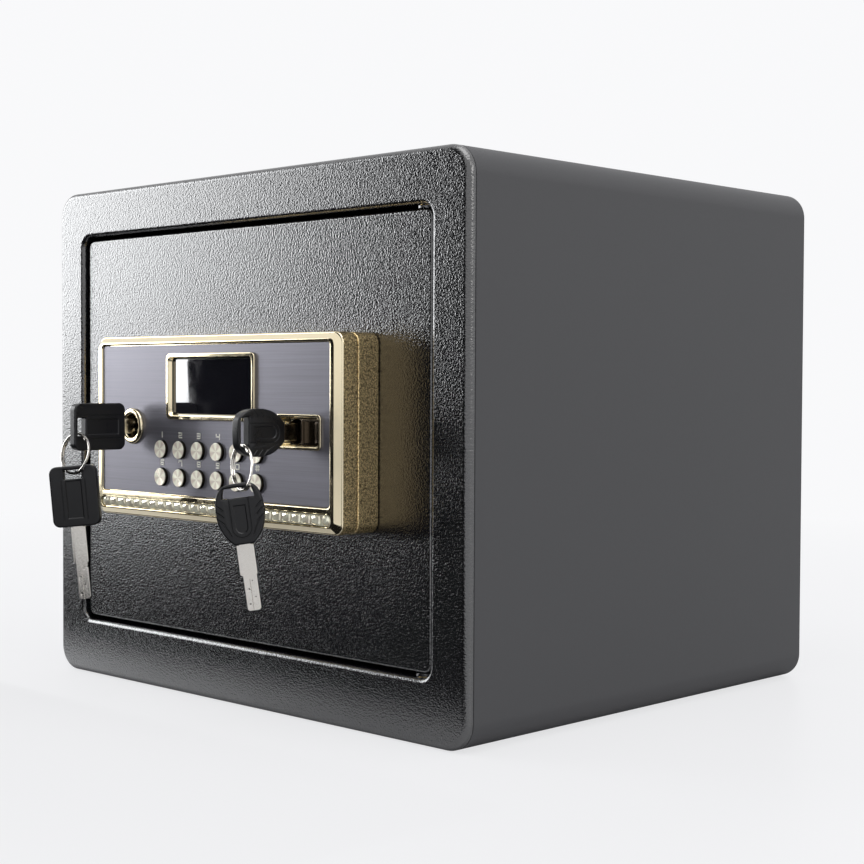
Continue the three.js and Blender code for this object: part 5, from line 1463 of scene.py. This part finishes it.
def camera_matrix():
    """The camera's place and axes."""
    ahead = Vector((
        math.sin(CAMERA_YAW) * math.cos(CAMERA_PITCH), math.cos(CAMERA_YAW) * math.cos(CAMERA_PITCH),
        -math.sin(CAMERA_PITCH),
    ))
    right = Vector((math.cos(CAMERA_YAW), -math.sin(CAMERA_YAW), 0))
    down = ahead.cross(right)
    side = math.cos(CAMERA_ROLL) * right + math.sin(CAMERA_ROLL) * down
    under = math.cos(CAMERA_ROLL) * down - math.sin(CAMERA_ROLL) * right
    turn = Matrix((side, -under, -ahead)).transposed().to_4x4()
    return Matrix.Translation(CAMERA_PLACE) @ turn


def soft_light(name, place, target, width, height, power, tint=(1.0, 1.0, 1.0)):
    """Rectangular soft light aimed at a point."""
    lamp = bpy.data.lights.new(name, "AREA")
    lamp.shape = "RECTANGLE"
    lamp.size, lamp.size_y = width, height
    lamp.energy = power
    lamp.color = tint
    aim = (Vector(target) - Vector(place)).to_track_quat("-Z", "Y").to_matrix().to_4x4()
    put(name, lamp).matrix_world = Matrix.Translation(place) @ aim


def sheet(name, corners):
    """Flat four-cornered sheet of the stage."""
    mesh = bpy.data.meshes.new(name)
    mesh.from_pydata(corners, [], [(0, 1, 2, 3)])
    flat = put(name, mesh)
    return flat


def dark_card(name, corners):
    """Black card that only reflections see, as a studio uses to shape a gloss."""
    card = sheet(name, corners)
    black = Finish(name, Roughness=0.9, Specular_IOR_Level=0.0)
    cloud = black.noise(black.place(), 2.0)
    black.vary("Base Color", black.mix(cloud, (0.004, 0.004, 0.004), (0.012, 0.012, 0.012)))
    card.data.materials.append(black.material)
    card.visible_camera = card.visible_diffuse = card.visible_shadow = card.visible_transmission = False


def pale_floor():
    """Plain pale floor that keeps the shadow and fades into the white round it."""
    reach = 9.0
    floor = sheet("floor", [(-reach, -reach, 0), (reach, -reach, 0), (reach, reach, 0), (-reach, reach, 0)])
    floor.location.z = -0.0002
    pale = Finish("floor_paint", Specular_IOR_Level=0.35)
    cloud = pale.noise(pale.place(), 1.6, 3.0)
    pale.vary("Base Color", pale.mix(cloud, (0.60, 0.60, 0.61), (0.64, 0.64, 0.65)))
    pale.vary("Roughness", pale.spread(cloud, 0.3, 0.7, 0.34, 0.42))
    seen = pale.node("ShaderNodeLightPath")
    away = pale.node("ShaderNodeVectorMath", {"operation": "LENGTH"}, {0: pale.place()}, output=1)
    pale.veil(seen * pale.spread(away, 0.35, 1.3, 0.76, 1.0), BACKGROUND)
    floor.data.materials.append(pale.material)


def white_world():
    """White to the camera and in reflections, softer on matt surfaces."""
    world = bpy.data.worlds.new("studio")
    bpy.context.scene.world = world
    studio = Nodes(world, "ShaderNodeOutputWorld")
    camera_ray = studio.node("ShaderNodeLightPath")
    glossy, clear = camera_ray.other("Is Glossy Ray"), camera_ray.other("Is Transmission Ray")
    seen = studio.maths("MAXIMUM", camera_ray, studio.maths("MAXIMUM", glossy, clear))
    soft = studio.node("ShaderNodeBackground", None, {"Color": (0.94, 0.96, 1.0), "Strength": 0.62})
    white = studio.node("ShaderNodeBackground", None, {"Color": BACKGROUND, "Strength": 1.0})
    both = studio.node("ShaderNodeMixShader", None, {0: seen, 1: soft, 2: white})
    studio.feed(studio.output.inputs[0], both)


class SAFE_OT_frame(bpy.types.Operator):
    """Front frame with its rolled edges, hinge brackets and bolt holes"""

    bl_idname = "safe.frame"
    bl_label = "Front frame"

    def execute(self, context):
        mesh = front_frame_mesh(context.scene.safe_sizes)
        fit_out("frame_sheet", mesh, "black", "cabinet", "front_frame")
        return {"FINISHED"}


class SAFE_OT_cabinet(bpy.types.Operator):
    """Cabinet wrap, back panel, shelf, floor mat and hinge bushes"""

    bl_idname = "safe.cabinet"
    bl_label = "Cabinet"

    def execute(self, context):
        sizes = context.scene.safe_sizes
        fit_out("wrap_sheet", cabinet_wrap_mesh(sizes), "grey", "cabinet", "cabinet_wrap")
        fit_out("back_panel", back_plate_mesh(), "grey", "cabinet", "back_plate")
        dress("shelf", "grey", 0.4)
        dress("floor_mat", "felt", 0.8)
        for node in ("hinge_bush_upper", "hinge_bush_lower"):
            dress(node, "brass", 0.15)
            # Painted shade: black on the part of the bush that shows in the door's gap.
            paint_gap_shade(node)
        return {"FINISHED"}


class SAFE_OT_door(bpy.types.Operator):
    """Door skin, hinge pins, back cover and its four screws"""

    bl_idname = "safe.door"
    bl_label = "Door"

    def execute(self, context):
        sizes = context.scene.safe_sizes
        fit_out("door_skin", door_pan_mesh(sizes), "black", "door", "door_pan")
        for node in ("hinge_pin_upper", "hinge_pin_lower"):
            dress(node, "steel", 0.1)
            # Painted shade: black on the part of the pin that shows in the door's gap.
            paint_gap_shade(node)
        dress("door_back_cover", "grey", 0.4)
        for corner, (x, z) in post_places().items():
            mesh = cover_screw_mesh(x, z)
            fit_out(f"screw_{corner}", mesh, "zinc", "door", f"cover_screw_{corner}")
        return {"FINISHED"}


class SAFE_OT_mechanism(bpy.types.Operator):
    """Drawbar, locking bolts, mechanism plate, solenoid, battery box and lid"""

    bl_idname = "safe.mechanism"
    bl_label = "Mechanism"

    def execute(self, context):
        for node in ("mechanism_plate", "drawbar", "solenoid_body"):
            dress(node, "zinc")
        for end in ("upper", "lower"):
            node = f"locking_bolt_{end}"
            mesh = locking_bolt_mesh(node)
            fit_out(f"bolt_{end}", mesh, "steel", "bolt_carriage", node)
        dress("solenoid_plunger", "steel", 0.15)
        for node in ("battery_box", "battery_lid"):
            dress(node, "plastic", 0.3)
        return {"FINISHED"}


class SAFE_OT_panel(bpy.types.Operator):
    """Panel housing, bezel, brushed faceplate and digits"""

    bl_idname = "safe.panel"
    bl_label = "Control panel"

    def execute(self, context):
        sizes = context.scene.safe_sizes
        fit_out("panel_tub", panel_base_mesh(), "lacquer", "door", "panel_base")
        bezel = fit_out("panel_frame", panel_bezel_mesh(), "gold lacquer", "door",
                        "panel_bezel")
        paint(bezel.data, 1, lambda centre, normal: centre.y > PANEL_EDGE_Y + 0.42)
        fit_out("face_sheet", faceplate_mesh(), "gunmetal", "door", "faceplate")
        fit_out("keypad_digits", digits_mesh(sizes), "ink", "door", smooth=0)
        dress("control_board", "board", 0.1)
        return {"FINISHED"}


class SAFE_OT_display(bpy.types.Operator):
    """Display frame, dark window and the module behind it"""

    bl_idname = "safe.display"
    bl_label = "Display"

    def execute(self, context):
        fit_out("display_trim", display_bezel_mesh(), "gold", "door", "display_bezel")
        fit_out("display_glass", display_window_mesh(), "glass", "door", "display_window")
        dress("display_module", "plastic", 0.2)
        return {"FINISHED"}


class SAFE_OT_buttons(bpy.types.Operator):
    """Twelve turned push buttons"""

    bl_idname = "safe.buttons"
    bl_label = "Buttons"

    def execute(self, context):
        pattern = button_mesh(context.scene.safe_sizes)
        wall = BUTTON_RADIUS - 0.05
        for name, x, z in button_places():
            node, place = f"button_{name}", Vector((x, FACE_Y - BUTTON_PROUD, z)) * MM
            button = fit_out(f"push_{name}", pattern.copy(), "turned shadow", node,
                             node, BUTTON_SMOOTH_ANGLE, place)
            # Painted shade: the side wall of each button gets shadow_gold, gold darkened to 6 %, for the dark
            # round the button.
            paint(button.data, 1, lambda centre, normal: math.hypot(centre.x, centre.z) > wall)
        bpy.data.meshes.remove(pattern)
        return {"FINISHED"}


class SAFE_OT_stones(bpy.types.Operator):
    """Strip of cut stones in the bezel's channel"""

    bl_idname = "safe.stones"
    bl_label = "Stones"

    def execute(self, context):
        mesh = stones_mesh(context.scene.safe_sizes)
        strip = fit_out("cut_stones", mesh, "stone gold", "door", "stone_strip", smooth=0)
        paint(strip.data, 1, lambda centre, normal: centre.y > STONE_BED_Y - 0.01 and abs(normal.y) > 0.9)
        return {"FINISHED"}


class SAFE_OT_locks(bpy.types.Operator):
    """Emergency lock ring, main lock tray, sliding cover, lock bodies and plugs"""

    bl_idname = "safe.locks"
    bl_label = "Locks"

    def execute(self, context):
        ring_mesh = weld(lock_ring_mesh(), [emergency_escutcheon_shape()])
        fit_out("lock_ring", ring_mesh, "gold", "door", "emergency_lock_ring")
        fit_out("lock_tray", tray_mesh(), "gold", "door", "main_lock_tray")
        # Painted shade and reflection: the slide cover is nearly black, standing for the dark that its polish
        # shows.
        fit_out("slide_cover", slide_cover_mesh(), "smoked", "slide_cover",
                "lock_slide_cover")
        # Painted shade: the lock bodies and plugs are nearly black, standing for the dark inside the
        # keyholes.
        for node in ("main_lock_body", "emergency_lock_body", "main_lock_plug", "emergency_lock_plug"):
            dress(node, "smoked", 0.15)
        return {"FINISHED"}


class SAFE_OT_keys(bpy.types.Operator):
    """Main and emergency keys with their spares and split rings"""

    bl_idname = "safe.keys"
    bl_label = "Keys"

    sets = (
        KeySet("main", MAIN_X, FACE_Y - 6.8, MAIN_HEAD, 7.44, ring_pose=(0.24, 0.0, 0.0),
               hang_pose=(0.8, 0.14, 2.6), blade=(34.0, 8.9, 15.3)),
        KeySet("emergency", EMERGENCY_X, FACE_Y - 7.4, EMERGENCY_HEAD, EMERGENCY_SLOT,
               ring_pose=(-0.085, 0.166, 0.9), hang_pose=(1.45, 0.09, -0.2), blade=(41.0, 8.5, 20.0)),
    )

    def execute(self, context):
        groove = context.scene.safe_sizes.groove / MM
        for keys in self.sets:
            kind = keys.kind
            head = main_head_mesh if kind == "main" else emergency_head_mesh
            for key, place in {f"{kind}_key": keys.inserted(), f"spare_{kind}_key": keys.hanging()}.items():
                fit_out(f"{key}_head", head(place, groove), "plastic", key, f"{key}_bow")
                blade = blade_mesh(place, *keys.blade, kind == "emergency")
                fit_out(f"{key}_steel", blade, "nickel", key, f"{key}_blade")
            ring_mesh = split_ring_mesh(keys.ring())
            fit_out(f"{kind}_split_ring", ring_mesh, "nickel", f"{kind}_ring",
                    f"{kind}_key_ring")
        return {"FINISHED"}


class SAFE_OT_stage(bpy.types.Operator):
    """Pale floor, white world, soft lights, dark cards and the camera"""

    bl_idname = "safe.stage"
    bl_label = "Stage"

    def execute(self, context):
        scene = context.scene
        scene.view_settings.view_transform = "Standard"
        pale_floor()
        white_world()
        sky, warm = (0.97, 0.985, 1.0), (1.0, 0.985, 0.96)
        soft_light("window_light", (-1.862, -0.887, 0.74), (-0.02, -0.17, 0.62), 1.2, 1.2, 25.0, sky)
        soft_light("low_window", (-1.862, -0.887, 0.07), (-0.02, -0.17, 0.07), 1.2, 0.13, 1.3, sky)
        soft_light("top_light", (0.5, -0.2, 2.2), (0, 0, 0.15), 1.8, 1.8, 24.0)
        soft_light("side_light", (1.7, 0.3, 0.9), (0.15, 0, 0.15), 0.9, 0.9, 6.0, warm)
        left, right, tall = (-1.62, -1.4), (-0.1, -2.2), 2.2
        dark_card("front_card", [(*left, 0.0), (*right, 0.0), (*right, tall), (*left, tall)])
        low = 0.002
        corners = [(-2.4, -0.205, low), (0.25, -0.205, low), (0.25, -2.3, low), (-2.4, -2.0, low)]
        dark_card("low_card", corners)
        eye = bpy.data.cameras.new("camera")
        eye.lens = CAMERA_LENS
        eye.sensor_width = CAMERA_SENSOR
        scene.camera = put("camera", eye)
        scene.camera.matrix_world = camera_matrix()
        return {"FINISHED"}


STEPS = (
    SAFE_OT_frame, SAFE_OT_cabinet, SAFE_OT_door, SAFE_OT_mechanism, SAFE_OT_panel, SAFE_OT_display,
    SAFE_OT_buttons, SAFE_OT_stones, SAFE_OT_locks, SAFE_OT_keys, SAFE_OT_stage,
)


class SAFE_PT_pieces(bpy.types.Panel):
    """Sizes, colours and building steps of the safe"""

    bl_idname = "SAFE_PT_pieces"
    bl_label = "Electronic Safe"
    bl_space_type = "VIEW_3D"
    bl_region_type = "UI"
    bl_category = "Safe"

    def draw(self, context):
        layout = self.layout
        for settings in (context.scene.safe_sizes, context.scene.safe_colours):
            box = layout.box()
            for name in settings.bl_rna.properties.keys():
                if name not in ("rna_type", "name"):
                    box.prop(settings, name)
        for step in STEPS:
            layout.operator(step.bl_idname)


CLASSES = (SafeSizes, SafeColours, *STEPS, SAFE_PT_pieces)


def register():
    for item in CLASSES:
        bpy.utils.register_class(item)
    bpy.types.Scene.safe_sizes = bpy.props.PointerProperty(type=SafeSizes)
    bpy.types.Scene.safe_colours = bpy.props.PointerProperty(type=SafeColours)


def unregister():
    del bpy.types.Scene.safe_colours
    del bpy.types.Scene.safe_sizes
    for item in reversed(CLASSES):
        bpy.utils.unregister_class(item)


def main():
    """Registers the add-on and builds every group."""
    register()
    for step in STEPS:
        group, name = step.bl_idname.split(".")
        getattr(getattr(bpy.ops, group), name)()


if __name__ == "__main__":
    main()
